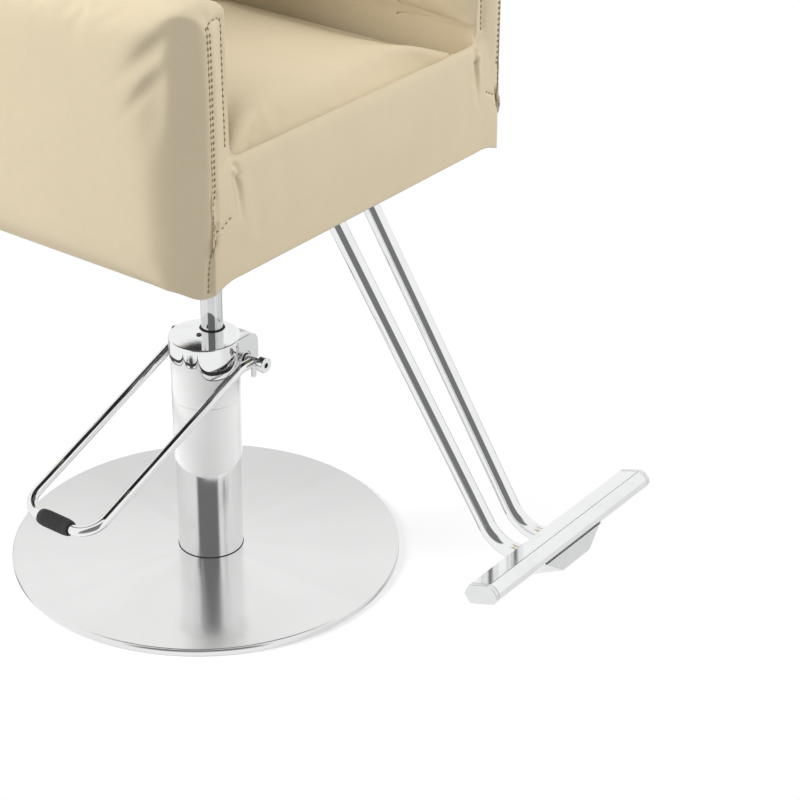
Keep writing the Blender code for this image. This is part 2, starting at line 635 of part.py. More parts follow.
def back_spot(height, depth):
    """A point of the leaning back in the XZ plane: height up the back, depth behind its front face."""
    x = BACK_X - depth * math.cos(BACK_TILT) - height * math.sin(BACK_TILT)
    z = CUSHION_Z0 - depth * math.sin(BACK_TILT) + height * math.cos(BACK_TILT)
    return x, z


def back_line(z, depth):
    """X of the leaning plane at a depth behind the back's front face, at a height."""
    return BACK_X - depth / math.cos(BACK_TILT) - (z - CUSHION_Z0) * math.tan(BACK_TILT)


def leaning(x, z):
    """A frame on the leaning back: its X axis up the back, its Z axis out of the back's front face."""
    lean, rise = math.sin(BACK_TILT), math.cos(BACK_TILT)
    return Matrix(((-lean, 0.0, rise, x), (0.0, -1.0, 0.0, 0.0), (rise, 0.0, lean, z), (0.0, 0.0, 0.0, 1.0)))


def build_upholstery(seat):
    """The padded pieces: seat cushion, front panel, arms, back cushion and back shell."""
    front = SEAT_FRONT - PANEL_T - 2.0 * GAP
    rear = BACK_X + 0.006
    size = (front - rear, 2.0 * (SEAT_INNER - 0.002), CUSHION_TOP - CUSHION_Z0)
    middle = (0.5 * (front + rear), 0.0, 0.5 * (CUSHION_TOP + CUSHION_Z0))
    finish("seat_cushion", moved(pad(size, 0.022, CUSHION_CROWN, 0.010, (8, 8, 2)), upright(*middle)),
           "leatherette", seat)
    size = (PANEL_T, 2.0 * BOARD_HALF, PANEL_TOP - SEAT_BOTTOM)
    middle = (SEAT_FRONT - 0.5 * PANEL_T, 0.0, 0.5 * (PANEL_TOP + SEAT_BOTTOM))
    finish("front_panel", moved(pad(size, 0.005, 0.0, 0.0, (1, 3, 2)), upright(*middle)), "leatherette", seat)
    size = (SEAT_FRONT - ARM_BACK, SEAT_HALF - SEAT_INNER, ARM_TOP - SEAT_BOTTOM)
    for side, word in ((1.0, "left"), (-1.0, "right")):
        middle = (0.5 * (SEAT_FRONT + ARM_BACK), side * 0.5 * (SEAT_HALF + SEAT_INNER), 0.5 * (ARM_TOP + SEAT_BOTTOM))
        finish(f"arm_{word}", moved(pad(size, ARM_EDGE_R, 0.004, 0.0, (9, 2, 6)), upright(*middle)), "leatherette", seat)
    size = (BACK_H, 2.0 * BOARD_HALF, BACK_T)
    x, z = back_spot(0.5 * BACK_H + 0.0125, 0.5 * BACK_T)
    finish("back_cushion", moved(pad(size, 0.026, 0.010, 0.0, (9, 8, 2)), leaning(x, z)), "leatherette", seat)
    low, high = (SEAT_BOTTOM + 0.004 - CUSHION_Z0) / math.cos(BACK_TILT), BACK_H
    near = STRAP_DEPTH + STRAP_T + 0.0004
    size = (high - low, 2.0 * BOARD_HALF, SHELL_T)
    x, z = back_spot(0.5 * (high + low), near + 0.5 * SHELL_T)
    finish("back_shell", moved(pad(size, 0.006, 0.0, 0.0, (4, 3, 1)), leaning(x, z)), "leatherette", seat)
    build_straps(seat)


def build_straps(seat):
    """The two steel straps that carry the back, bent up behind the seat board."""
    top = DUST_Z0 - GAP
    low, high = top - STRAP_T, CUSHION_Z0 + STRAP_H
    inner, outer = STRAP_DEPTH, STRAP_DEPTH + STRAP_T
    foot = BOARD_REAR + STRAP_FOOT
    outline = [(foot, top), (foot, low), (back_line(low, outer), low), (back_line(high, outer), high),
               (back_line(high, inner), high), (back_line(top, inner), top)]
    for side, word in ((1.0, "left"), (-1.0, "right")):
        y = side * STRAP_Y - 0.5 * STRAP_W
        finish(f"back_strap_{word}", prism(outline, "Y", y, y + STRAP_W), "steel", seat)


def bar_outline(grow=0.0):
    """The footrest bar's section as (x, z) points: flat above and below, round edges, its front tilted up."""
    w, h = 0.5 * BAR_W + grow, 0.5 * BAR_H + grow
    flat, side = 0.5 * BAR_FLAT, 0.5 * BAR_SIDE
    round_in = 0.13 * BAR_W - grow
    corners = [(w, 0.0), (w - 0.3 * round_in, side), (w - round_in, 0.75 * h), (flat, h), (-flat, h),
               (-w + round_in, 0.75 * h), (-w + 0.3 * round_in, side), (-w, 0.0), (-w + 0.3 * round_in, -side),
               (-w + round_in, -0.75 * h), (-flat, -h), (flat, -h), (w - round_in, -0.75 * h),
               (w - 0.3 * round_in, -side)]
    turn, rise = math.cos(BAR_TILT), math.sin(BAR_TILT)
    return [(BAR_X + u * turn - v * rise, BAR_Z + u * rise + v * turn) for u, v in corners]


def toe_bracket():
    """The block under the bar that takes the tubes' ends: wide at the bar, narrow below, its front upright."""
    bm = bmesh.new()
    rows = [(TOE_BACK_X, TOE_HEEL_HALF, TOE_HEEL_Z), (TOE_LOW_X, TOE_LOW_HALF, TOE_LOW_Z),
            (TOE_TOP_X, TOE_TOP_HALF, TOE_TOP_Z), (TOE_BACK_X, TOE_TOP_HALF, TOE_BACK_Z)]
    sides = [[bm.verts.new((x, sign * half, z)) for x, half, z in rows] for sign in (-1.0, 1.0)]
    bm.faces.new(sides[0])
    bm.faces.new(sides[1][::-1])
    for now, after in zip(range(4), (1, 2, 3, 0)):
        bm.faces.new((sides[0][now], sides[1][now], sides[1][after], sides[0][after]))
    return bm


def build_footrest(seat):
    """The footrest: two bent tubes, their clamp, the bar with end caps and the plate under it."""
    rise = (TUBE_TOP_Z - TUBE_TAIL_Z) / (TUBE_LOW_X - TUBE_TOP_X)
    bend_x = TUBE_TOP_X - (TUBE_RUN_Z - TUBE_TOP_Z) / rise
    socket_x = BAR_X - 0.5 * BAR_W * math.cos(BAR_TILT) + SOCKET_DEPTH
    bar = finish("footrest_bar", prism(bar_outline(), "Y", -0.5 * BAR_L + END_CAP_T, 0.5 * BAR_L - END_CAP_T),
                 "aluminium", seat)
    for side, word in ((1.0, "left"), (-1.0, "right")):
        high, low = side * TUBE_TOP_Y, side * TUBE_LOW_Y
        points = [(TUBE_INNER_X, high, TUBE_RUN_Z), (bend_x, high, TUBE_RUN_Z), (TUBE_LOW_X, low, TUBE_TAIL_Z),
                  (socket_x - GAP, low, TUBE_TAIL_Z)]
        tube(f"footrest_tube_{word}", rounded_path(points, TUBE_BEND_R), TUBE_R, "chrome", seat, 4)
        ends = sorted((side * (0.5 * BAR_L - END_CAP_T + GAP), side * 0.5 * BAR_L))
        finish(f"bar_end_cap_{word}", prism(bar_outline(), "Y", *ends), "aluminium", seat)
    clamp_top = TUBE_RUN_Z - TUBE_R - GAP
    clamp = finish("tube_clamp", slab((CLAMP_X0, CLAMP_X1), (-CLAMP_HALF, CLAMP_HALF),
                                      (clamp_top - CLAMP_T, clamp_top)), "steel", seat)
    for number, x in enumerate((CLAMP_BOLT_X0, CLAMP_BOLT_X1), 1):
        cut(clamp, [bolt_hole(x, 0.0, BOLT_R, clamp_top - 0.02, clamp_top + 0.01)])
        clamp.modifiers[-1].name = f"bolt_{number}"
    toe = finish("toe_plate", toe_bracket(), "aluminium", seat)
    cut(toe, [prism(bar_outline(GAP), "Y", -0.5 * BAR_L, 0.5 * BAR_L)])
    for side, word in ((1.0, "left"), (-1.0, "right")):
        cut(toe, [turned(disc(TUBE_R + GAP, -0.1, 0.0), along_x(socket_x, side * TUBE_LOW_Y, TUBE_TAIL_Z), 24)])
        toe.modifiers[-1].name = f"tail_{word}"
        y = side * BAR_SCREW_Y
        bolt(f"bar_screw_{word}", BAR_X, y, TOE_LOW_Z - GAP, BAR_Z, BAR_SCREW_HEAD_R, BAR_SCREW_R, seat)
        cut(toe, [bolt_hole(BAR_X, y, BAR_SCREW_R, TOE_LOW_Z - 0.01, TOE_LOW_Z + 0.05),
                  bolt_hole(BAR_X, y, BAR_SCREW_HEAD_R, TOE_HEEL_Z - 0.02, TOE_LOW_Z)])
        toe.modifiers[-1].name = f"screw_{word}"
        cut(bar, [bolt_hole(BAR_X, y, BAR_SCREW_R, TOE_LOW_Z - 0.02, BAR_Z + GAP)])
        bar.modifiers[-1].name = f"screw_{word}"


def main():
    """Build every piece of the chair."""
    clear_scene()
    build_base()
    build_pump()
    build_lever()
    build_plunger()
    build_ram()
    seat = joint_empty("seat_swivel", (0.0, 0.0, RAM_TOP))
    build_seat(seat)
    build_upholstery(seat)
    build_footrest(seat)


main()
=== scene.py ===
"""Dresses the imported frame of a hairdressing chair: metal, paint, sewn upholstery, studio."""

import json

import bmesh
import bpy
import numpy as np
from mathutils.bvhtree import BVHTree
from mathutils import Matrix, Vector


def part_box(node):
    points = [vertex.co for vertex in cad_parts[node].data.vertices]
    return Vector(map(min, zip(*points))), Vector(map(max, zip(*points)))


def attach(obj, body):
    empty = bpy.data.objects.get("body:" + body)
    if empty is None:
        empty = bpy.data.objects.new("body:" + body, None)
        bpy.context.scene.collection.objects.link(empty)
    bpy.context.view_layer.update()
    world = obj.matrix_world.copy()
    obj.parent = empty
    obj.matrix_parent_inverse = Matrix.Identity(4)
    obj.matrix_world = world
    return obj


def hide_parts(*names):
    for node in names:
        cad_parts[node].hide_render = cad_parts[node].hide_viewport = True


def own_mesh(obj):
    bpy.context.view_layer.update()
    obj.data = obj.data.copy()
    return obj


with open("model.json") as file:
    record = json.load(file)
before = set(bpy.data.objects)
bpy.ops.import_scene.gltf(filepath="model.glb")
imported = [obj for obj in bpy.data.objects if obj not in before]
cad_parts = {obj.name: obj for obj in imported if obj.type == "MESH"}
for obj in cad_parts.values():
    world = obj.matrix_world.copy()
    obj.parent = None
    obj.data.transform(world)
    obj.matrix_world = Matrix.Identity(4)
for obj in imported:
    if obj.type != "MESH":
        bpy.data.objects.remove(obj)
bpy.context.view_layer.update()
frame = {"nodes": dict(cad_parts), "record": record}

bl_info = {
    "name": "Hairdressing Chair",
    "version": (1, 0, 0),
    "blender": (4, 5, 0),
    "location": "View3D > Sidebar > Chair",
    "description": "Builds the visible pieces of a hairdressing chair over its packed frame",
    "category": "Object",
}

# Places on the frame that no node's box gives, in metres
BASE_AXIS = np.array([-0.002, -0.022, 0.0])
PUMP_AXIS = np.array([0.0065, -0.0225, 0.0])
PIVOT = np.array([0.0065, 0.006, 0.290])
LOBES = ((-190.0, -130.0, 0.026), (-130.0, -85.0, 0.020), (-85.0, -60.0, 0.019), (-60.0, 10.0, 0.031))
CAP_LIP = 0.006
SLEEVE_WALL, BODY_WALL, HEAD_WALL = 0.0012, 0.0014, 0.003
LEVER_KNEE, LEVER_END = (-0.019, 0.290), (-0.305, 0.1768)
TUBE_TOP, TUBE_FOOT = (0.2232, 0.0336, 0.554), (0.4676, 0.0257, 0.1855)
TUBE_START, TUBE_END, TUBE_BEND_R = 0.095, 0.5276, 0.050
BAR_AXIS = np.array([0.540, 0.0, 0.2152])
BAR_TILT = np.radians(18.0)
BACK_LEAN = np.radians(8.0)
BACK_FOOT = np.array([-0.205, 0.0, 0.597])
HEM_Z = 0.5540
ARM_SIDE = 0.3195

# The left arm's soft boxes: low corner, high corner and edge radius
ARM_BOXES = (((-0.3020, 0.2310, 0.4900), (0.2490, 0.3075, 0.8820), 0.030),
             ((-0.2980, 0.2312, 0.5000), (0.2495, 0.3070, 0.8560), 0.017),
             ((0.1200, 0.2310, 0.5100), (0.2492, 0.2850, 0.8720), 0.010),
             ((0.2386, 0.1950, 0.5200), (0.2500, 0.2750, 0.6500), 0.005))
PANEL_BOX = ((0.2386, -0.2360, 0.5300), (0.2508, 0.2360, 0.6955), 0.0052)
BOX_FLOOR = 0.5430

# The padded front: where it begins, the panel's half width, rear and swell, and its lean at the top
FRONT_X, PANEL_HALF, PANEL_REAR, PANEL_SWELL = 0.225, 0.262, 0.2385, 0.005
LEAN_FOOT, LEAN_RISE, LEAN_DEPTH = 0.600, 0.095, 0.0080
FOLD_BOX = ((0.235, 0.205, 0.590), (0.270, 0.285, 0.700))
SEAM_HOLD = 0.005

# The room between the arms: half its width, the cushion's top and the back's front
ROOM_HALF, ROOM_TOP, ROOM_BACK = 0.2300, 0.715, -0.180

# Soft boxes of the seat and, as height, side and depth on the leaning back, of the back
SEAT_BOX = ((-0.1970, -0.2270, 0.5985), (0.2360, 0.2270, 0.6860), 0.020)
SEAT_ROOM = ((-0.1985, -0.2292, 0.5975), (0.2378, 0.2292, 0.720))
BACK_BOX = ((0.0140, -0.2280, 0.0020), (0.5300, 0.2280, 0.0790), 0.024)
BACK_ROOM = 0.2296
SHELL_HALF, SHELL_TOP, SHELL_FACE, SHELL_REAR, SHELL_EDGE = 0.2285, 0.519, 0.0862, 0.0990, 0.0060

# How an arm's side turns in to its front, and how its lower front corner hangs
TURN_START, TURN_SOFT, TURN_SLOPE = 0.209, 0.0150, 1.16
CORNER_X, CORNER_Y, CORNER_REACH, CORNER_DROP = 0.238, 0.2815, 0.0245, 0.0130

# The corded edges of seat and back: half width, spacing, sink, groove depth and groove spread
WELT_HALF, WELT_STEP, WELT_SINK, WELT_GROOVE, WELT_SPREAD = 0.2180, 0.004, 0.0008, 0.0015, 0.005

# Seams, darts and folds of the left arm's front as (y, z)
SEAM_FRONT = np.array([[0.2705, 0.850], [0.2700, 0.780], [0.2699, 0.704], [0.2702, 0.664],
                       [0.2703, 0.640], [0.2710, 0.6164], [0.2725, 0.5997], [0.2742, 0.5885],
                       [0.2756, 0.573], [0.2764, 0.5500]])
SEAM_INNER = np.array([[0.2410, 0.852], [0.2405, 0.78], [0.2400, 0.71]])
SEAM_OVER = np.array([[0.2705, 0.850], [0.262, 0.8560], [0.250, 0.8565], [0.2410, 0.852]])
SEAM_SECOND = np.array([[0.2668, 0.850], [0.2664, 0.78], [0.2663, 0.702], [0.2664, 0.660]])
CREASE = np.array([[0.2664, 0.664], [0.2655, 0.640], [0.2662, 0.6150]])
DART = np.array([[0.2640, 0.6195], [0.2593, 0.6207], [0.2519, 0.6246], [0.2445, 0.6284]])
PUCKER = np.array([[0.2665, 0.6275], [0.2682, 0.6155], [0.2697, 0.6044]])

# Folds with their depth, spread and fade
FOLDS = (
    (((0.2274, 0.6842), (0.2240, 0.6768), (0.2153, 0.6637)), 0.0030, 0.0038, 1.0),
    (((0.2271, 0.6700), (0.2252, 0.6560), (0.2250, 0.6400), (0.2241, 0.6150)), 0.0062, 0.0042, 1.0),
    (((0.2312, 0.6780), (0.2308, 0.6600), (0.2300, 0.6300)), -0.0032, 0.0034, 0.9),
    (((0.2480, 0.6900), (0.2500, 0.6600), (0.2540, 0.6300)), 0.0006, 0.0090, 0.0),
    (((0.2060, 0.6700), (0.2000, 0.6400), (0.1980, 0.6050)), 0.0007, 0.0110, 0.0),
    (((0.1500, 0.6800), (0.1450, 0.6300), (0.1480, 0.5800)), 0.0006, 0.0160, 0.0),
)


def extent(node):
    """Lowest corner, highest corner and middle of a node's box."""
    low, high = (np.array(corner, float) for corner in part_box(node))
    return low, high, (low + high) / 2


def width(node, axis=0):
    """A node's size along one axis."""
    low, high, _ = extent(node)
    return float(high[axis] - low[axis])


class ChairSizes(bpy.types.PropertyGroup):
    """Sizes of the chair's visible pieces that are not read from the frame."""

    edge: bpy.props.FloatProperty(
        name="Metal edge", description="Radius of the broken edges on turned metal", default=0.0007,
        unit="LENGTH")
    ram: bpy.props.FloatProperty(
        name="Ram radius", description="Radius of the bright ram", default=width("ram") / 2,
        unit="LENGTH")
    rod: bpy.props.FloatProperty(
        name="Lever rod", description="Radius of the lever's bent rod", default=0.0065, unit="LENGTH")
    tube: bpy.props.FloatProperty(
        name="Footrest tube", description="Radius of the footrest's tubes", default=0.0107,
        unit="LENGTH")
    lower_hem: bpy.props.FloatProperty(
        name="Lower hem", description="Depth of the cap's lower hem as a share of the upper one",
        default=1.39)
    voxel: bpy.props.FloatProperty(
        name="Pad grid", description="Grid size of the padded pieces before they swell", default=0.006,
        unit="LENGTH")
    arm_swell: bpy.props.FloatProperty(
        name="Arm swell", description="Most that an arm's cover may stand out", default=0.009,
        unit="LENGTH")
    seat_swell: bpy.props.FloatProperty(
        name="Seat swell", description="Most that the seat's cover may stand out", default=0.022,
        unit="LENGTH")
    back_swell: bpy.props.FloatProperty(
        name="Back swell", description="Most that the back's cover may stand out", default=0.022,
        unit="LENGTH")
    stitch_pitch: bpy.props.FloatProperty(
        name="Stitch pitch", description="Distance from stitch to stitch", default=0.0070,
        unit="LENGTH")
    stitch_length: bpy.props.FloatProperty(
        name="Stitch length", description="Length of one stitch", default=0.0040, unit="LENGTH")
    thread: bpy.props.FloatProperty(
        name="Thread", description="Radius of the sewing thread", default=0.0008, unit="LENGTH")
    seam_depth: bpy.props.FloatProperty(
        name="Seam depth", description="Depth of the groove along a sewn seam", default=0.0018,
        unit="LENGTH")
    welt: bpy.props.FloatProperty(
        name="Welt", description="Radius of the corded edge on seat and back", default=0.0034,
        unit="LENGTH")


class ChairColours(bpy.types.PropertyGroup):
    """Colours of the chair's finishes, as linear light."""

    cover: bpy.props.FloatVectorProperty(
        name="Leatherette", description="Upholstery cover", subtype="COLOR",
        default=(0.60, 0.51, 0.355))
    thread: bpy.props.FloatVectorProperty(
        name="Thread", description="Sewing thread", subtype="COLOR", default=(0.27, 0.21, 0.125))
    chrome: bpy.props.FloatVectorProperty(
        name="Chrome", description="Plated tubes, ram and cap", subtype="COLOR",
        default=(0.86, 0.865, 0.87))
    sleeve: bpy.props.FloatVectorProperty(
        name="Sleeve", description="Polished pump sleeve", subtype="COLOR", default=(0.84, 0.84, 0.84))
    disc: bpy.props.FloatVectorProperty(
        name="Base disc", description="Brushed base cover", subtype="COLOR",
        default=(0.82, 0.82, 0.815))
    paint: bpy.props.FloatVectorProperty(
        name="Paint", description="Gloss paint on the pump", subtype="COLOR",
        default=(0.84, 0.84, 0.835))
    steel: bpy.props.FloatVectorProperty(
        name="Steel", description="Plain steel of plates and bolts", subtype="COLOR",
        default=(0.30, 0.30, 0.31))
    rubber: bpy.props.FloatVectorProperty(
        name="Rubber", description="Seals, grip and floor ring", subtype="COLOR",
        default=(0.018, 0.018, 0.019))
    cloth: bpy.props.FloatVectorProperty(
        name="Dust cloth", description="Black cloth below the seat", subtype="COLOR",
        default=(0.016, 0.016, 0.017))
    wood: bpy.props.FloatVectorProperty(
        name="Plywood", description="Seat board", subtype="COLOR", default=(0.50, 0.35, 0.20))
    bar: bpy.props.FloatVectorProperty(
        name="Bar", description="Bright footrest bar", subtype="COLOR", default=(0.86, 0.865, 0.87))
    brass: bpy.props.FloatVectorProperty(
        name="Brass", description="Ram piston", subtype="COLOR", default=(0.60, 0.42, 0.16))


def arithmetic(operation, swapped=False):
    """A method that adds one Math node for a value and another value or number."""
    def method(self, other):
        first, second = (other, self) if swapped else (self, other)
        return self.maker.node("ShaderNodeMath", {"operation": operation}, {0: first, 1: second})
    return method


class Value:
    """One number socket; arithmetic on it adds Math nodes to its tree."""

    def __init__(self, maker, socket):
        self.maker = maker
        self.socket = socket

    __add__, __radd__ = arithmetic("ADD"), arithmetic("ADD", True)
    __sub__, __rsub__ = arithmetic("SUBTRACT"), arithmetic("SUBTRACT", True)
    __mul__, __rmul__ = arithmetic("MULTIPLY"), arithmetic("MULTIPLY", True)
    __truediv__, __rtruediv__ = arithmetic("DIVIDE"), arithmetic("DIVIDE", True)
    __pow__ = arithmetic("POWER")
    least, most = arithmetic("MINIMUM"), arithmetic("MAXIMUM")


class Maker:
    """Builds one node tree, for a material or for the studio's world."""

    def __init__(self, tree):
        tree.nodes.clear()
        self.tree = tree

    def node(self, kind, settings=None, sockets=None, output=0):
        """One node: settings first, then numbers or links for its sockets; gives one output."""
        made = self.tree.nodes.new(kind)
        for name, setting in (settings or {}).items():
            setattr(made, name, setting)
        for name, item in (sockets or {}).items():
            target = made.inputs[name]
            if isinstance(item, Value):
                self.tree.links.new(item.socket, target)
            elif isinstance(item, (tuple, list)) and target.type == "RGBA":
                target.default_value = (*item[:3], 1.0)
            else:
                target.default_value = item
        return Value(self, made.outputs[output]) if made.outputs else None

    def place(self, scale=(1.0, 1.0, 1.0), shift=(0.0, 0.0, 0.0)):
        """Object coordinates, shifted and stretched."""
        spot = self.node("ShaderNodeTexCoord", output="Object")
        return self.node("ShaderNodeMapping", {"vector_type": "POINT"},
                         {"Vector": spot, "Location": shift, "Scale": scale})

    def noise(self, spot, scale, detail=3.0, rough=0.55):
        """Fractal noise from 0 to 1."""
        return self.node("ShaderNodeTexNoise", None,
                         {"Vector": spot, "Scale": scale, "Detail": detail, "Roughness": rough})

    def ramp(self, value, low, high, start=0.0, end=1.0):
        """A smooth step of a value between two levels."""
        return self.node("ShaderNodeMapRange", {"interpolation_type": "SMOOTHSTEP", "clamp": True},
                         {"Value": value, "From Min": low, "From Max": high, "To Min": start,
                          "To Max": end})

    def mix(self, share, first, second):
        """A blend of two colours."""
        return self.node("ShaderNodeMix", {"data_type": "RGBA"}, {0: share, 6: first, 7: second}, 2)

    def wave(self, value):
        """The sine of a value."""
        return self.node("ShaderNodeMath", {"operation": "SINE"}, {0: value})

    def axis(self, spot, name):
        """One part of a vector."""
        return self.node("ShaderNodeSeparateXYZ", None, {"Vector": spot}, name)

    def bump(self, height, distance, strength=1.0):
        """A normal raised by a height."""
        return self.node("ShaderNodeBump", None,
                         {"Strength": strength, "Distance": distance, "Height": height}, "Normal")

    def surface(self, sockets):
        """Closes the tree with a principled surface."""
        shade = self.node("ShaderNodeBsdfPrincipled", None, sockets, "BSDF")
        self.node("ShaderNodeOutputMaterial", None, {"Surface": shade})


def finished(name, recipe, *values):
    """A new material whose nodes are made by a recipe."""
    made = bpy.data.materials.new(name)
    made.use_nodes = True
    recipe(Maker(made.node_tree), *values)
    return made


def shade(colour, share):
    """A colour made lighter or darker by a share."""
    return tuple(float(part) * share for part in colour)


def bright_finish(make, colour, low, high, streak=None):
    """Polished metal: smudges vary its roughness, hairlines or fine pits its surface."""
    spot = make.place()
    smudge = make.ramp(make.noise(spot, 26.0, 5.0, 0.62), 0.42, 0.72)
    lines = make.noise(make.place(streak) if streak else spot, 1.0 if streak else 850.0, 2.0)
    speck = make.ramp(make.noise(spot, 420.0, 2.0), 0.66, 0.78)
    tint = make.mix(smudge * 0.7 + speck * 0.3, tuple(colour), shade(colour, 0.94))
    rough = low + (high - low) * smudge + 0.02 * lines
    make.surface({"Base Color": tint, "Metallic": 1.0, "Roughness": rough,
                  "Normal": make.bump(lines, 0.00004, 0.25)})


def disc_finish(make, colour):
    """Brushed sheet turned round the base's axis: fine rings and faint wipe marks, with a painted fan
    of highlights and painted shade towards the rear left.
    """
    spot = make.place((1.0, 1.0, 1.0), tuple(-BASE_AXIS))
    across, along = make.axis(spot, "X"), make.axis(spot, "Y")
    reach = (across * across + along * along) ** 0.5
    ring = make.node("ShaderNodeTexNoise", {"noise_dimensions": "1D"},
                     {"W": reach, "Scale": 1400.0, "Detail": 3.0})
    cloud = make.noise(spot, 7.0, 4.0)
    wipe = make.noise(spot, 60.0, 3.0)
    rough = 0.105 + 0.05 * cloud + 0.035 * ring + 0.015 * wipe
    sweep = make.node("ShaderNodeMath", {"operation": "ARCTAN2"}, {0: along, 1: across})
    # Lighter and darker sectors round the axis: painted highlight of the circular brushing
    painted_fan_sheen = make.node("ShaderNodeTexNoise", {"noise_dimensions": "1D"},
                    {"W": sweep, "Scale": 2.6, "Detail": 4.0})
    # Darker towards the rear left of the disc: painted shade
    back = make.ramp(across * -0.62 + along * 0.78, -0.10, 0.24)
    tint = make.mix(ring * 0.25 + cloud * 0.25 + painted_fan_sheen * 0.3 + back * 0.6, shade(colour, 1.10),
                    shade(colour, 0.80))
    make.surface({"Base Color": tint, "Metallic": 1.0, "Roughness": rough,
                  "Normal": make.bump(ring, 0.00002, 0.3)})


def paint_finish(make, colour):
    """Gloss paint with a slight orange peel and a clear coat."""
    spot = make.place()
    peel = make.noise(spot, 260.0, 2.0)
    cloud = make.noise(spot, 18.0, 4.0)
    tint = make.mix(cloud, shade(colour, 1.02), shade(colour, 0.96))
    make.surface({"Base Color": tint, "Roughness": 0.20 + 0.10 * cloud, "Coat Weight": 0.6,
                  "Coat Roughness": 0.06, "Normal": make.bump(peel, 0.00008, 0.2)})


def steel_finish(make, colour):
    """Plain drawn steel: dull, with grain along X and darker patches."""
    grain = make.noise(make.place((30.0, 900.0, 900.0)), 1.0, 3.0)
    cloud = make.noise(make.place(), 40.0, 4.0)
    tint = make.mix(cloud, shade(colour, 1.15), shade(colour, 0.78))
    make.surface({"Base Color": tint, "Metallic": 1.0, "Roughness": 0.30 + 0.18 * cloud + 0.08 * grain,
                  "Normal": make.bump(grain, 0.00005, 0.3)})


def cover_finish(make, colour):
    """Leatherette: pebbled grain with finer pores, slightly mottled."""
    spot = make.place()
    bend = make.noise(spot, 300.0, 2.0)
    warped = make.node("ShaderNodeVectorMath", {"operation": "MULTIPLY_ADD"},
                       {0: make.node("ShaderNodeTexNoise", None, {"Vector": spot, "Scale": 220.0},
                                     "Color"),
                        1: (0.0016, 0.0016, 0.0016), 2: spot})
    pebble = make.node("ShaderNodeTexVoronoi", {"feature": "DISTANCE_TO_EDGE"},
                       {"Vector": warped, "Scale": 620.0})
    grain = make.ramp(pebble, 0.02, 0.30)
    pore = make.noise(spot, 2600.0, 2.0)
    cloud = make.noise(spot, 9.0, 4.0, 0.6)
    patch = make.noise(spot, 70.0, 3.0)
    height = grain * 0.75 + pore * 0.25 + bend * 0.35
    # The grain's valleys are painted darker as painted shade; the rest of the tone is random mottling
    tone = cloud * 0.55 + patch * 0.25 + (1 - grain) * 0.2
    tint = make.mix(tone, shade(colour, 1.06), shade(colour, 0.90))
    make.surface({"Base Color": tint, "Roughness": 0.44 + 0.10 * patch + 0.10 * (1 - grain),
                  "Normal": make.bump(height, 0.00022, 0.45)})


def thread_finish(make, colour):
    """Twisted thread: fine slanting plies."""
    spot = make.place()
    slant = make.axis(spot, "Z") * 5200.0 + make.axis(spot, "Y") * 3400.0
    ply = make.wave(slant) * 0.5 + 0.5
    fuzz = make.noise(spot, 900.0, 2.0)
    tint = make.mix(ply * 0.5 + fuzz * 0.5, shade(colour, 0.8), shade(colour, 1.15))
    make.surface({"Base Color": tint, "Roughness": 0.62 + 0.2 * fuzz,
                  "Normal": make.bump(ply, 0.0002, 0.4)})


def rubber_finish(make, colour):
    """Moulded rubber: matt, with a fine grain and a grey bloom."""
    spot = make.place()
    bloom = make.noise(spot, 55.0, 4.0)
    grain = make.noise(spot, 1500.0, 2.0)
    tint = make.mix(bloom, shade(colour, 0.8), shade(colour, 1.7))
    make.surface({"Base Color": tint, "Roughness": 0.50 + 0.22 * bloom,
                  "Normal": make.bump(grain, 0.0001, 0.35)})


def cloth_finish(make, colour):
    """Black non-woven dust cloth: a small square emboss and loose fibres."""
    spot = make.place()
    waves = [make.wave(make.axis(spot, part) * 2400.0) for part in "XYZ"]
    weave = (waves[0] * waves[1] + waves[2] * 0.4) * 0.35 + 0.5
    fibre = make.noise(make.place((400.0, 90.0, 400.0)), 1.0, 4.0)
    tint = make.mix(weave * 0.5 + fibre * 0.5, shade(colour, 0.6), shade(colour, 1.7))
    make.surface({"Base Color": tint, "Roughness": 0.82 + 0.12 * fibre,
                  "Normal": make.bump(weave, 0.0002, 0.5)})


def wood_finish(make, colour):
    """Plywood: layers seen on the edges and stretched grain on the faces."""
    spot = make.place()
    layer = make.wave(make.axis(spot, "Z") * 2100.0) * 0.5 + 0.5
    grain = make.noise(make.place((9.0, 150.0, 150.0)), 1.0, 5.0, 0.65)
    tint = make.mix(layer * 0.35 + grain * 0.65, shade(colour, 1.15), shade(colour, 0.62))
    make.surface({"Base Color": tint, "Roughness": 0.58 + 0.15 * grain,
                  "Normal": make.bump(grain, 0.0003, 0.4)})


def floor_finish(make):
    """A pale floor that keeps the shadow near the chair and fades into white further out."""
    spot = make.place()
    across, along = make.axis(spot, "X"), make.axis(spot, "Y")
    reach = (across * across + along * along) ** 0.5
    fade = make.ramp(reach, 0.22, 0.62, 0.35, 1.0)
    grain = make.noise(spot, 3.0, 3.0)
    tint = make.mix(grain, (0.93, 0.93, 0.93), (0.91, 0.91, 0.91))
    base = make.node("ShaderNodeBsdfDiffuse", None, {"Color": tint})
    clear = make.node("ShaderNodeBsdfTransparent")
    glossy = make.node("ShaderNodeLightPath", output="Is Glossy Ray")
    both = make.node("ShaderNodeMixShader", None, {0: fade.most(glossy), 1: base, 2: clear})
    make.node("ShaderNodeOutputMaterial", None, {"Surface": both})


def grid_faces(rows, columns, around=True, along=False):
    """Four-cornered faces of a grid of points; its columns and its rows may close on themselves."""
    index = np.arange(rows * columns).reshape(rows, columns)
    if around:
        index = np.concatenate([index, index[:, :1]], axis=1)
    if along:
        index = np.concatenate([index, index[:1]], axis=0)
    corners = [index[:-1, :-1], index[:-1, 1:], index[1:, 1:], index[1:, :-1]]
    return np.stack(corners, axis=-1).reshape(-1, 4)


def unit(vectors):
    """Vectors at length one."""
    vectors = np.asarray(vectors, float)
    return vectors / np.maximum(np.linalg.norm(vectors, axis=-1, keepdims=True), 1e-12)


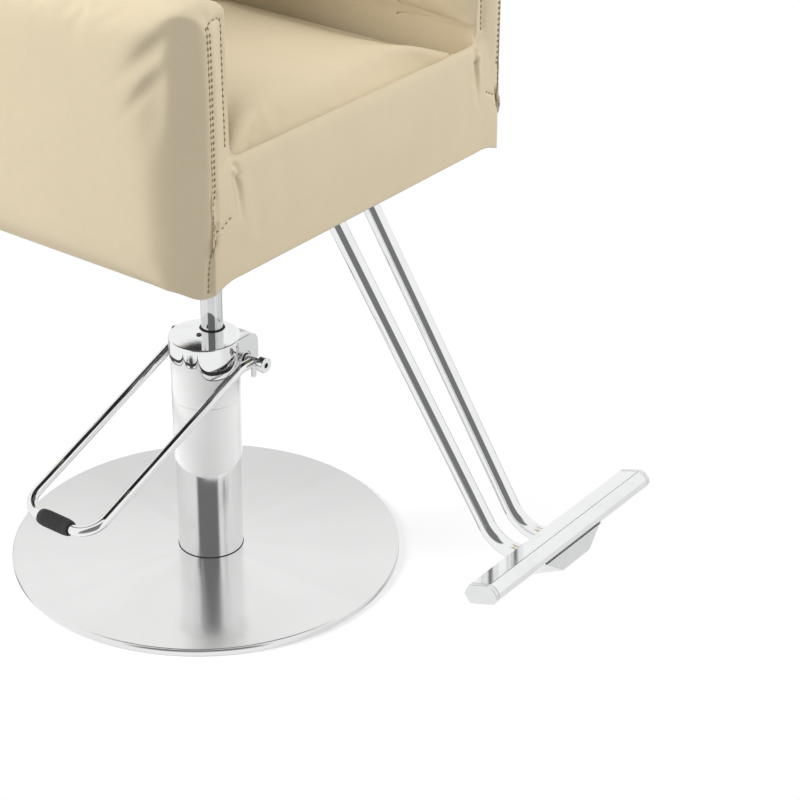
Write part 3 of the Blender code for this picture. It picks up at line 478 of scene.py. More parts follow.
def rounded(points, radii, steps=8, closed=False):
    """A polyline with circular arcs for corners; each blends the two rays from its centre by angle."""
    points = np.asarray(points, float)
    radii = np.broadcast_to(np.asarray(radii, float), len(points))
    before = unit(np.roll(points, 1, axis=0) - points)
    after = unit(np.roll(points, -1, axis=0) - points)
    half = np.arccos(np.clip((before * after).sum(1), -1.0, 1.0)) / 2
    reach = (radii / np.tan(half))[:, None]
    centre = points + unit(before + after) * (radii / np.sin(half))[:, None]
    first = (points + before * reach - centre)[:, None]
    last = (points + after * reach - centre)[:, None]
    turn = np.maximum(np.pi - 2 * half, 1e-6)[:, None, None]
    share = np.linspace(0.0, 1.0, steps + 1)[None, :, None]
    arcs = np.sin((1 - share) * turn) * first + np.sin(share * turn) * last
    arcs = arcs / np.sin(turn) + centre[:, None]
    if closed:
        return arcs.reshape(-1, points.shape[1])
    return np.concatenate([points[:1], arcs[1:-1].reshape(-1, points.shape[1]), points[-1:]])


def turned(profile, centre, segments=96, closed=False):
    """A profile of radius and height spun about Z: x = r cos a, y = r sin a, z = h."""
    radius, height = np.asarray(profile, float).T
    angle = np.linspace(0.0, 2 * np.pi, segments, endpoint=False)
    points = np.stack([radius[:, None] * np.cos(angle), radius[:, None] * np.sin(angle),
                       np.repeat(height[:, None], segments, axis=1)], axis=-1)
    points = points.reshape(-1, 3) + np.asarray(centre, float)
    return points, grid_faces(len(radius), segments, along=closed)


def lengthwise(shape, centre, sign=1.0):
    """A turned shape laid down with its axis along X, either way, through a centre."""
    points, faces = shape
    return np.stack([sign * points[:, 2], points[:, 0], sign * points[:, 1]], axis=-1) + centre, faces


def ring_profile(inner, outer, low, high, edge):
    """The section of a turned ring with broken edges, as radius and height."""
    return rounded([(inner, low), (outer, low), (outer, high), (inner, high)], edge, 4, closed=True)


def both_ways(profile, segments):
    """A closed profile turned about the lever's pivot, once on each side."""
    shape = turned(profile, (0, 0, 0), segments, closed=True)
    return [lengthwise(shape, PIVOT, side) for side in (1.0, -1.0)]


def swept(path, radius, side, sides=28, edge=0.001):
    """A circle carried along a path: centre + r (cos a n + sin a b); the ends close round."""
    path = np.asarray(path, float)
    along = unit(np.gradient(path, axis=0))
    turn = np.linspace(0.0, np.pi / 2, 5)
    back = edge * (1 - np.cos(turn))
    thin = radius - edge * (1 - np.sin(turn))
    start = path[0] + along[0] * back[:, None]
    end = path[-1] - along[-1] * back[::-1, None]
    rows = np.concatenate([path[:1], start, path[1:-1], end, path[-1:]])
    size = np.concatenate([[0.0], thin, np.full(len(path) - 2, radius), thin[::-1], [0.0]])
    rings = len(turn) + 1
    heading = np.concatenate([np.repeat(along[:1], rings, axis=0), along[1:-1],
                              np.repeat(along[-1:], rings, axis=0)])
    normal = unit(np.cross(heading, np.broadcast_to(np.asarray(side, float), heading.shape)))
    other = np.cross(heading, normal)
    angle = np.linspace(0.0, 2 * np.pi, sides, endpoint=False)[None, :, None]
    circle = np.cos(angle) * normal[:, None] + np.sin(angle) * other[:, None]
    points = rows[:, None] + size[:, None, None] * circle
    return points.reshape(-1, 3), grid_faces(len(rows), sides)


def welted(path, radius, sides=10):
    """A circle carried round a closed path, in a plane found from the path's own turn."""
    path = np.asarray(path, float)
    along = unit(np.roll(path, -1, axis=0) - np.roll(path, 1, axis=0))
    plane = unit(np.cross(path - path.mean(0), along).sum(0))
    normal = unit(np.cross(along, plane))
    other = np.cross(along, normal)
    angle = np.linspace(0.0, 2 * np.pi, sides, endpoint=False)[None, :, None]
    circle = np.cos(angle) * normal[:, None] + np.sin(angle) * other[:, None]
    points = path[:, None] + radius * circle
    return points.reshape(-1, 3), grid_faces(len(path), sides, along=True)


def extruded(outline, low, high, edge, axes=(0, 1, 2)):
    """A closed outline (u, v) carried along w; at both ends it draws in on a quarter circle."""
    outline = np.asarray(outline, float)
    along = unit(np.roll(outline, -1, axis=0) - np.roll(outline, 1, axis=0))
    u, v = outline.T
    area = np.sum(u * np.roll(v, -1) - v * np.roll(u, -1))
    outward = np.sign(area) * np.stack([along[:, 1], -along[:, 0]], axis=-1)
    turn = np.linspace(0.0, np.pi / 2, 5)
    inset = np.concatenate([edge * (1 - np.sin(turn)), edge * (1 - np.sin(turn[::-1]))])
    level = np.concatenate([low + edge * (1 - np.cos(turn)), high - edge * (1 - np.cos(turn[::-1]))])
    flat = outline[None] - outward[None] * inset[:, None, None]
    centre = outline.mean(0)
    close = [np.broadcast_to(centre, (1, *outline.shape)), centre + 0.9 * (flat[:1] - centre)]
    flat = np.concatenate([*close, flat, *close[::-1]])
    level = np.concatenate([level[:1], level[:1], level, level[-1:], level[-1:]])
    solid = np.concatenate([flat, np.broadcast_to(level[:, None, None], (*flat.shape[:2], 1))], axis=-1)
    points = np.empty_like(solid)
    points[..., list(axes)] = solid
    return points.reshape(-1, 3), grid_faces(len(level), len(outline))


def block(low, high, radius, cells=26):
    """A soft box: face grids whose points lie at the edge radius from the inner box."""
    low, high = np.asarray(low, float), np.asarray(high, float)
    share = 0.5 - 0.5 * np.cos(np.linspace(0.0, np.pi, cells))
    first, second = np.meshgrid(share, share, indexing="ij")
    sheets = []
    for axis in range(3):
        for end in (0.0, 1.0):
            spread = np.empty((cells, cells, 3))
            spread[..., axis] = end
            spread[..., (axis + 1) % 3] = first if end else second
            spread[..., (axis + 2) % 3] = second if end else first
            sheets.append(low + spread * (high - low))
    points = np.stack(sheets).reshape(-1, 3)
    core = np.clip(points, low + radius, high - radius)
    points = core + unit(points - core) * radius
    faces = grid_faces(cells, cells, around=False)
    return points, np.concatenate([faces + number * cells * cells for number in range(6)])


def joined(*shapes):
    """Several shapes as one set of points and faces."""
    starts = np.cumsum([0] + [len(points) for points, _ in shapes[:-1]])
    return (np.concatenate([points for points, _ in shapes]),
            np.concatenate([faces + start for (_, faces), start in zip(shapes, starts)]))


def mesh_of(name, shape):
    """A mesh with doubled points merged and its faces turned outwards."""
    points, faces = shape
    made = bpy.data.meshes.new(name)
    made.from_pydata(points.tolist(), [], faces.tolist())
    work = bmesh.new()
    work.from_mesh(made)
    bmesh.ops.remove_doubles(work, verts=work.verts, dist=2e-6)
    bmesh.ops.dissolve_degenerate(work, edges=work.edges, dist=1e-7)
    bmesh.ops.recalc_face_normals(work, faces=work.faces)
    work.to_mesh(made)
    work.free()
    made.shade_smooth()
    return made


def placed(name, mesh, finish, body, stands_for=()):
    """An object for a mesh, with its finish, body and the nodes it stands for."""
    made = bpy.data.objects.new(name, mesh)
    bpy.context.scene.collection.objects.link(made)
    mesh.materials.clear()
    mesh.materials.append(bpy.data.materials[finish])
    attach(made, body)
    if stands_for:
        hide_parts(*stands_for)
    return made


def piece(name, shape, finish, body, slot, *stands_for):
    """A hard piece, its normals weighted by face area so that flats stay flat."""
    made = placed(name, mesh_of(name, shape), finish, body, stands_for)
    weigh = made.modifiers.new("flats", "WEIGHTED_NORMAL")
    weigh.weight = 100
    return made


def coordinates(mesh):
    """All points of a mesh."""
    points = np.empty(len(mesh.vertices) * 3)
    mesh.vertices.foreach_get("co", points)
    return points.reshape(-1, 3)


def normals(mesh):
    """All point normals of a mesh."""
    found = np.empty(len(mesh.vertices) * 3)
    mesh.vertex_normals.foreach_get("vector", found)
    return found.reshape(-1, 3)


def store(mesh, points):
    """Writes all points of a mesh."""
    mesh.vertices.foreach_set("co", np.asarray(points, float).ravel())
    mesh.update()


def baked(obj):
    """Applies every modifier of an object to its mesh."""
    graph = bpy.context.evaluated_depsgraph_get()
    fresh = bpy.data.meshes.new_from_object(obj.evaluated_get(graph))
    obj.modifiers.clear()
    old = obj.data
    obj.data = fresh
    bpy.data.meshes.remove(old)
    return obj


def pad_body(name, shape, voxel, smooth=4):
    """A closed pad made of one even skin round one or more soft boxes."""
    made = bpy.data.objects.new(name, mesh_of(name, shape))
    bpy.context.scene.collection.objects.link(made)
    skin = made.modifiers.new("skin", "REMESH")
    skin.mode = "VOXEL"
    skin.voxel_size = voxel
    ease = made.modifiers.new("ease", "SMOOTH")
    ease.factor = 0.5
    ease.iterations = smooth
    return baked(made)


def swollen(obj, held, cap, pressure=4.0, frames=20):
    """Blows a pad up as cloth under pressure: marked points are held, and each move is capped."""
    scene = bpy.context.scene
    before = coordinates(obj.data)
    group = obj.vertex_groups.new(name="held")
    group.add(np.flatnonzero(held).tolist(), 1.0, "REPLACE")
    swell = obj.modifiers.new("swell", "CLOTH")
    swell.settings.use_pressure = True
    swell.settings.uniform_pressure_force = pressure
    swell.settings.effector_weights.gravity = 0.0
    swell.settings.vertex_group_mass = "held"
    swell.settings.quality = 4
    swell.point_cache.frame_start = 1
    swell.point_cache.frame_end = frames
    for number in range(1, frames + 1):
        scene.frame_set(number)
    graph = bpy.context.evaluated_depsgraph_get()
    after = coordinates(obj.evaluated_get(graph).data)
    obj.modifiers.clear()
    obj.vertex_groups.clear()
    scene.frame_set(1)
    move = after - before
    reach = np.linalg.norm(move, axis=1)
    limit = np.broadcast_to(cap, reach.shape)
    share = limit * np.tanh(reach / limit) / np.maximum(reach, 1e-9)
    store(obj.data, before + move * share[:, None])
    return obj


def refined(obj):
    """Adds one subdivision to a pad and applies it."""
    finer = obj.modifiers.new("finer", "SUBSURF")
    finer.levels = 1
    finer.render_levels = 1
    return baked(obj)


def split_near(obj, low, high):
    """Splits the faces of a pad that lie inside a box, given for the left side, on both sides."""
    work = bmesh.new()
    work.from_mesh(obj.data)
    low, high = np.array(low), np.array(high)
    middles = np.array([face.calc_center_median() for face in work.faces])
    middles[:, 1] = np.abs(middles[:, 1])
    chosen = np.flatnonzero(((middles > low) & (middles < high)).all(axis=1))
    work.faces.ensure_lookup_table()
    edges = list({edge for number in chosen for edge in work.faces[number].edges})
    bmesh.ops.subdivide_edges(work, edges=edges, cuts=1, use_grid_fill=True)
    work.to_mesh(obj.data)
    work.free()
    return obj


def resampled(path, spacing):
    """Points at an even spacing along a polyline, by its running length."""
    path = np.asarray(path, float)
    run = np.concatenate([[0.0], np.cumsum(np.linalg.norm(np.diff(path, axis=0), axis=1))])
    marks = np.linspace(0.0, run[-1], max(3, int(run[-1] / spacing) + 1))
    return np.stack([np.interp(marks, run, part) for part in path.T], axis=-1)


def nearest(points, path):
    """Distance from points to a polyline, and the share of its length at the nearest place."""
    start, step = path[:-1], np.diff(path, axis=0)
    length = np.maximum(np.linalg.norm(step, axis=1), 1e-9)
    run = np.concatenate([[0.0], np.cumsum(length)])
    away = points[:, None] - start[None]
    share = np.clip((away * step).sum(-1) / length ** 2, 0.0, 1.0)
    reach = np.linalg.norm(away - share[..., None] * step, axis=-1)
    best = reach.argmin(axis=1)
    row = np.arange(len(points))
    return reach[row, best], (run[best] + share[row, best] * length[best]) / run[-1]


def pressed(obj, path, depth, spread, fade=0.0):
    """Presses a groove along a path, by depth (1 - fade share) exp(-(distance / spread)^2)."""
    points = coordinates(obj.data)
    path = np.asarray(path, float)
    margin = 3 * spread
    inside = (points > path.min(0) - margin) & (points < path.max(0) + margin)
    near = np.flatnonzero(inside.all(axis=1))
    if len(near):
        reach, share = nearest(points[near], path)
        push = depth * (1.0 - fade * share) * np.exp(-(reach / spread) ** 2)
        points[near] -= normals(obj.data)[near] * push[:, None]
        store(obj.data, points)
    return obj


def tree_of(obj):
    """A search tree over a mesh's faces."""
    graph = bpy.context.evaluated_depsgraph_get()
    return BVHTree.FromObject(obj, graph)


def laid(tree, starts, heading):
    """Where rays along one heading meet a surface, and its normals there."""
    hits = [tree.ray_cast(start, heading) for start in np.asarray(starts, float).tolist()]
    if any(hit[0] is None for hit in hits):
        raise RuntimeError("a seam misses its cover")
    return np.array([hit[0] for hit in hits], float), np.array([hit[1] for hit in hits], float)


def stitches(path, facing, sizes, lift=0.0):
    """A row of short capsules along a path: rings of a small circle, thin at both ends."""
    marks = resampled(np.concatenate([path, facing * 1e-4], axis=1), sizes.stitch_pitch)
    spot, up = marks[:, :3], unit(marks[:, 3:])
    along = unit(np.gradient(spot, axis=0))
    across = unit(np.cross(up, along))
    rows = np.array([-1.0, -0.92, -0.6, 0.0, 0.6, 0.92, 1.0]) * sizes.stitch_length / 2
    girth = np.array([0.0, 0.7, 1.0, 1.0, 1.0, 0.7, 0.0]) * sizes.thread
    sag = -np.array([1.0, 0.75, 0.2, 0.0, 0.2, 0.75, 1.0]) * sizes.thread * 1.2 + lift
    rings, sides = len(rows), 6
    angle = np.linspace(0.0, 2 * np.pi, sides, endpoint=False)
    side = girth[:, None] * np.cos(angle)
    rise = girth[:, None] * np.sin(angle) + sag[:, None]
    run = np.repeat(rows[:, None], sides, axis=1)
    points = (spot[:, None, None] + run[None, ..., None] * along[:, None, None]
              + side[None, ..., None] * across[:, None, None]
              + rise[None, ..., None] * up[:, None, None])
    faces = grid_faces(rings, sides)
    faces = faces[None] + (np.arange(len(spot)) * rings * sides)[:, None, None]
    return points.reshape(-1, 3), faces.reshape(-1, 4)


def hem(angle):
    """Depth of the cap's skirt by angle: on each lobe, lip + (depth - lip) sqrt(1 - share^4)."""
    depth = np.full(angle.shape, CAP_LIP)
    for start, end, most in LOBES:
        for turn in (angle, angle - 360.0):
            share = 2 * (turn - start) / (end - start) - 1
            inside = np.abs(share) <= 1
            lobe = CAP_LIP + (most - CAP_LIP) * np.sqrt(np.clip(1 - share ** 4, 0.0, 1.0))
            depth = np.where(inside, np.maximum(depth, lobe), depth)
    return depth


def skirted(inner, outer, top, plate, hole, share, shift=0.0, segments=720):
    """A cap: flat top with a hole that may lie off its axis, round rim, and a lobed skirt."""
    angle = np.linspace(0.0, 360.0, segments, endpoint=False)
    low = top - CAP_LIP - (hem(angle) - CAP_LIP) * share
    bead = (outer - inner) / 2
    rim = 0.0016
    bow = np.linspace(0.0, np.pi, 7)
    arc = np.linspace(0.0, np.pi / 2, 6)
    radius = np.concatenate([[inner], (inner + outer) / 2 - bead * np.cos(bow),
                             outer - rim * (1 - np.cos(arc)), [hole + 0.0006, hole, hole]])
    fixed = np.concatenate([[top - plate], np.full(len(bow), np.nan), top - rim * (1 - np.sin(arc)),
                            [top, top - 0.0006, top - plate]])
    height = np.where(np.isnan(fixed)[:, None], 0.0, np.repeat(fixed[:, None], segments, axis=1))
    height[1:1 + len(bow)] = low[None] + bead - (bead * np.sin(bow))[:, None]
    turn = np.radians(angle)
    points = np.stack([radius[:, None] * np.cos(turn), radius[:, None] * np.sin(turn), height], axis=-1)
    points[-3:] -= shift * PUMP_AXIS
    return points.reshape(-1, 3) + PUMP_AXIS, grid_faces(len(radius), segments, along=True)


def bored(outline, centre, bore, low, high, edge):
    """A plate in the (y, z) plane with a round hole: rings run from hole to outline, ray by ray."""
    away = np.asarray(outline, float) - centre
    angle = np.arctan2(away[:, 1], away[:, 0])
    order = np.argsort(angle)
    away, angle = away[order], angle[order]
    ray = np.stack([np.cos(angle), np.sin(angle)], axis=-1)
    inner, rim = ray * bore, ray * (bore + edge)
    inset = away - unit(away) * edge
    rings = [inner, away, away, inset, rim, inner]
    level = [low, low, high - edge, high, high, high - edge]
    points = np.stack([np.concatenate([np.full((len(flat), 1), x), flat + centre], axis=1)
                       for flat, x in zip(rings, level)])
    return points.reshape(-1, 3), grid_faces(len(rings), len(away), along=True)


def tilted(flat):
    """Points (x, z) about the bar's axis, turned up by its tilt."""
    cos, sin = np.cos(BAR_TILT), np.sin(BAR_TILT)
    return np.asarray(flat, float) @ np.array([[cos, sin], [-sin, cos]]) + BAR_AXIS[[0, 2]]


def bar_section():
    """The footrest bar's section in (x, z): flat above, a round nose and a blunt edge behind."""
    corners = [(-0.0132, 0.0118), (0.0138, 0.0118), (0.0195, 0.0082), (0.0230, 0.0015),
               (0.0224, -0.0052), (0.0155, -0.0118), (-0.0180, -0.0118), (-0.0230, 0.0015)]
    radii = (0.0010, 0.0007, 0.0075, 0.0060, 0.0040, 0.0015, 0.0015, 0.0020)
    return tilted(rounded(corners, radii, 6, closed=True))


class CHAIR_OT_finishes(bpy.types.Operator):
    """Make every finish and give the frame's own nodes theirs"""

    bl_idname = "chair.finishes"
    bl_label = "Finishes"

    def execute(self, context):
        tone = context.scene.chair_colours
        made = {
            "chrome": finished("plated_chrome", bright_finish, tone.chrome, 0.03, 0.075),
            "sleeve": finished("polished_sleeve", bright_finish, tone.sleeve, 0.05, 0.10,
                               (900.0, 900.0, 14.0)),
            "ram": finished("ground_ram", bright_finish, shade(tone.chrome, 0.84), 0.05, 0.10,
                            (600.0, 600.0, 20.0)),
            "casting": finished("satin_casting", bright_finish, shade(tone.chrome, 0.90), 0.16, 0.26),
            "brushed_steel": finished("brushed_disc_and_painted_sheen", disc_finish, tone.disc),
            "steel": finished("plain_steel", steel_finish, tone.steel),
            "white_paint": finished("gloss_paint", paint_finish, tone.paint),
            "leatherette": finished("leatherette_cover", cover_finish, tone.cover),
            "thread": finished("sewing_thread", thread_finish, tone.thread),
            "black_rubber": finished("moulded_rubber", rubber_finish, tone.rubber),
            "black_cloth": finished("dust_cloth", cloth_finish, tone.cloth),
            "plywood": finished("seat_plywood", wood_finish, tone.wood),
            "aluminium": finished("bright_bar", bright_finish, tone.bar, 0.06, 0.12,
                                  (900.0, 10.0, 900.0)),
            "brass": finished("turned_brass", bright_finish, tone.brass, 0.14, 0.26),
        }
        for part in frame["record"]["subparts"]:
            node = frame["nodes"][part["node"]]
            finish = made[part["material_slot"]]
            if not node.material_slots:
                node.data.materials.append(finish)
            for slot in node.material_slots:
                slot.material = finish
        return {"FINISHED"}


class CHAIR_OT_base(bpy.types.Operator):
    """Round base: the nearly flat disc and the dark bead at the sleeve's foot, which stands in for the
    shadowed gap there
    """

    bl_idname = "chair.base"
    bl_label = "Base"

    def execute(self, context):
        reach, floor = width("base_cover") / 2, extent("base_cover")[0][2]
        arc = np.linspace(0.0, np.pi / 2, 7)
        share = np.linspace(0.0, 1.0, 26)[1:]
        rim, edge, sheet, dome = 0.0032, 0.009, 0.0015, 0.0012
        radius = np.concatenate([[reach - sheet, reach - sheet, reach], reach - rim * (1 - np.cos(arc)),
                                 (reach - rim) * (1 - share)])
        height = np.concatenate([[edge - 0.002, floor, floor], edge - rim * (1 - np.sin(arc)),
                                 edge + dome * np.sin(np.pi / 2 * share)])
        disc = turned(np.stack([radius, height], -1), BASE_AXIS, 192)
        piece("base_disc", disc, "brushed_disc_and_painted_sheen", "base", "brushed_steel", "base_cover")
        sleeve = width("pump_sleeve") / 2
        # A dark rubber bead at the sleeve's foot: painted shadow of the gap between sleeve and disc
        bead = ring_profile(sleeve - 0.0006, sleeve + 0.0007, 0.0094, 0.0110, 0.0003)
        bead = turned(bead, PUMP_AXIS, 96, closed=True)
        piece("foot_shade_bead", bead, "moulded_rubber", "base", "black_rubber")
        return {"FINISHED"}


class CHAIR_OT_pump(bpy.types.Operator):
    """Pump: sleeve, painted body and head, two-tier cap with its lug, seal, oil screw and spring"""

    bl_idname = "chair.pump"
    bl_label = "Pump"

    def execute(self, context):
        edge = context.scene.chair_sizes.edge
        low, high, _ = extent("pump_sleeve")
        outer = width("pump_sleeve") / 2
        wall = ring_profile(outer - SLEEVE_WALL, outer, low[2], high[2], 0.0005)
        shell = turned(wall, PUMP_AXIS, 144, closed=True)
        piece("sleeve_shell", shell, "polished_sleeve", "base", "chrome", "pump_sleeve")
        low, high, _ = extent("pump_body")
        outer = width("pump_body") / 2
        wall = ring_profile(outer - BODY_WALL, outer, low[2], high[2], edge)
        shell, faces = turned(wall, PUMP_AXIS, 144, closed=True)
        away = shell - PUMP_AXIS
        # The body's lower edge rises away from its lowest point
        lowest, rise = np.radians(-52.0), 0.0125
        turn = np.arctan2(away[:, 1], away[:, 0]) - lowest
        lift = rise * np.where(np.cos(turn) > 0.0, np.sin(turn) ** 2, 1.0)
        shell[:, 2] += np.where(shell[:, 2] < low[2] + 0.002, lift, 0.0)
        piece("body_shell", (shell, faces), "gloss_paint", "base", "white_paint", "pump_body")
        low, top, _ = extent("pump_head")
        wall = ring_profile(outer - HEAD_WALL, outer, low[2], top[2], edge)
        shell = turned(wall, PUMP_AXIS, 144, closed=True)
        ears = both_ways(ring_profile(0.0063, 0.0095, 0.030, 0.0440, 0.0008), 48)
        piece("head_shell", joined(shell, *ears), "gloss_paint", "base", "white_paint", "pump_head")
        crown = extent("pump_cap")[1][2]
        hole = width("wiper_seal") / 2 + 0.0002
        share = context.scene.chair_sizes.lower_hem
        upper = skirted(outer + 0.00105, outer + 0.0017, crown, plate=0.0025, hole=hole, share=1.0,
                        shift=1.0)
        tier = {"top": crown - 0.0026, "plate": 0.001, "hole": 0.0420}
        lower = skirted(outer + 0.00025, outer + 0.00080, share=share, **tier)
        piece("cap_skirts", joined(upper, lower), "plated_chrome", "base", "chrome", "pump_cap")
        # Dark rubber bands under the upper hem and the lower tier: painted shade lines below the lobed
        # hems
        between = skirted(outer + 0.00082, outer + 0.00104, share=1.13, **tier)
        below = skirted(outer + 0.00003, outer + 0.00024, share=share + 0.06, **tier)
        piece("hem_shade_bands", joined(between, below), "moulded_rubber", "base", "black_rubber")
        back, front, foot, head = -0.0105, 0.031, 0.270, crown - 0.0002
        outline = rounded([(back, foot), (front, foot), (front, head), (back, head)],
                          [0.002, 0.004, 0.016, 0.0015], 10, closed=True)
        outline = resampled(np.concatenate([outline, outline[:1]]), 0.0008)[:-1]
        lug = bored(outline, PIVOT[1:], bore=0.0097, low=PIVOT[0] + 0.022, high=PIVOT[0] + 0.045,
                    edge=0.0009)
        piece("cap_lug", lug, "satin_casting", "base", "chrome")
        low, high, _ = extent("wiper_seal")
        inner = context.scene.chair_sizes.ram + 0.00012
        rim = width("wiper_seal") / 2
        seal = rounded([(inner, low[2]), (rim, low[2]), (rim, high[2] - 0.0006),
                        (inner + 0.0008, high[2]), (inner, high[2] - 0.0004)], 0.0003, 3, closed=True)
        seal = turned(seal, (0, 0, 0), 96, closed=True)
        piece("seal_lip", seal, "moulded_rubber", "base", "black_rubber", "wiper_seal")
        low, high, middle = extent("oil_screw")
        head = width("oil_screw") / 2
        slot = [(0.0, low[2]), (head, low[2]), (head, high[2] - 0.0004), (head - 0.0004, high[2]),
                (head * 0.55, high[2]), (head * 0.5, high[2] - 0.0008), (0.0, high[2] - 0.0009)]
        plug = turned(slot, (middle[0], middle[1], 0.0), 40)
        piece("oil_plug", plug, "plain_steel", "base", "steel", "oil_screw")
        self.spring()
        return {"FINISHED"}

    def spring(self):
        """The plunger's spring: a wire on a helix."""
        low, high, middle = extent("plunger_spring")
        wire, turns = 0.0005, 5
        reach = width("plunger_spring") / 2 - wire
        turn = np.linspace(0.0, 2 * np.pi * turns, 32 * turns + 1)
        helix = np.stack([middle[0] + reach * np.cos(turn), middle[1] + reach * np.sin(turn),
                          np.linspace(low[2] + wire, high[2] - wire, len(turn))], axis=-1)
        coil = swept(helix, wire, (0.0, 0.0, 1.0), sides=8, edge=0.0002)
        made = piece("spring_coil", coil, "plain_steel", "base", "steel", "plunger_spring")
        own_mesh(made)


class CHAIR_OT_lever(bpy.types.Operator):
    """Foot lever: bent rod, hubs, end collars, grip and release tab"""

    bl_idname = "chair.lever"
    bl_label = "Lever"

    def execute(self, context):
        sizes = context.scene.chair_sizes
        half_loop, setback = 0.0575, 0.0050
        near, far = PIVOT[0] + half_loop, PIVOT[0] - half_loop
        start = PIVOT[1] - setback
        corners = [(near, start, PIVOT[2]), (near, *LEVER_KNEE), (near, *LEVER_END), (far, *LEVER_END),
                   (far, *LEVER_KNEE), (far, start, PIVOT[2])]
        loop = swept(rounded(corners, 0.030, 14), sizes.rod, (0.0, -0.368, 0.930), 28)
        piece("lever_loop", loop, "plated_chrome", "lever", "chrome", "lever_rod")
        grip = rounded([(sizes.rod + 0.0002, -0.025), (0.0094, -0.025), (0.0103, -0.021),
                        (0.0103, 0.021), (0.0094, 0.025), (sizes.rod + 0.0002, 0.025)], 0.0010, 4,
                        closed=True)
        rib = ring_profile(0.0100, 0.0108, -0.0011, 0.0011, 0.0004)
        ribs = [turned(rib + (0.0, place), (0, 0, 0), 48, closed=True)
                for place in np.linspace(-0.016, 0.016, 9)]
        centre = np.array([PIVOT[0], *LEVER_END])
        grip = lengthwise(joined(turned(grip, (0, 0, 0), 48, closed=True), *ribs), centre)
        piece("grip_sleeve", grip, "moulded_rubber", "lever", "black_rubber", "lever_grip")
        hub = ring_profile(0.0050, 0.0066, 0.0463, 0.0687, 0.0005)
        collar = rounded([(0.0, 0.069), (0.0106, 0.069), (0.0106, 0.0787), (0.0036, 0.0787),
                          (0.0034, 0.0722), (0.0, 0.0720)], [0.0, 0.0008, 0.0010, 0.0004, 0.0, 0.0], 4)
        for side, word in ((1.0, "front"), (-1.0, "back")):
            shape = lengthwise(turned(hub, (0, 0, 0), 64, closed=True), PIVOT, side)
            piece(f"hub_{word}", shape, "plated_chrome", "lever", "chrome", f"lever_hub_{word}")
            shape = lengthwise(turned(collar, (0, 0, 0), 64), PIVOT, side)
            piece(f"collar_{word}", shape, "plated_chrome", "lever", "chrome", f"pivot_screw_{word}")
        # Dark discs set in the collars' bores: painted shade of the bores
        bore_shades = both_ways(ring_profile(0.0004, 0.0033, 0.0723, 0.0768, 0.0003), 32)
        piece("collar_bore_shades", joined(*bore_shades), "moulded_rubber", "lever", "black_rubber")
        low, high, _ = extent("release_tab")
        outline = rounded([(low[1], low[2]), (high[1], low[2]), (high[1], high[2]), (low[1], high[2])],
                          [0.0025, 0.0025, 0.0006, 0.0006], 5, closed=True)
        blade = extruded(outline, low[0], high[0], edge=0.0005, axes=(1, 2, 0))
        piece("tab_blade", blade, "satin_casting", "lever", "steel", "release_tab")
        return {"FINISHED"}


class CHAIR_OT_ram(bpy.types.Operator):
    """Ram and the turned socket that holds the seat on it"""

    bl_idname = "chair.ram"
    bl_label = "Ram"

    def execute(self, context):
        sizes = context.scene.chair_sizes
        low, high, _ = extent("ram")
        rod = rounded([(0.0, low[2]), (sizes.ram, low[2]), (sizes.ram, high[2]), (0.0, high[2])],
                      [0.0, 0.001, 0.001, 0.0], 4)
        piece("ram_rod", turned(rod, (0, 0, 0), 96), "ground_ram", "ram", "chrome", "ram")
        low, high, _ = extent("seat_socket")
        outer = width("seat_socket") / 2
        cup = ring_profile(sizes.ram + 0.0003, outer, low[2], high[2], 0.0012)
        cup = turned(cup, (0, 0, 0), 96, closed=True)
        piece("socket_cup", cup, "plain_steel", "seat", "steel", "seat_socket")
        return {"FINISHED"}


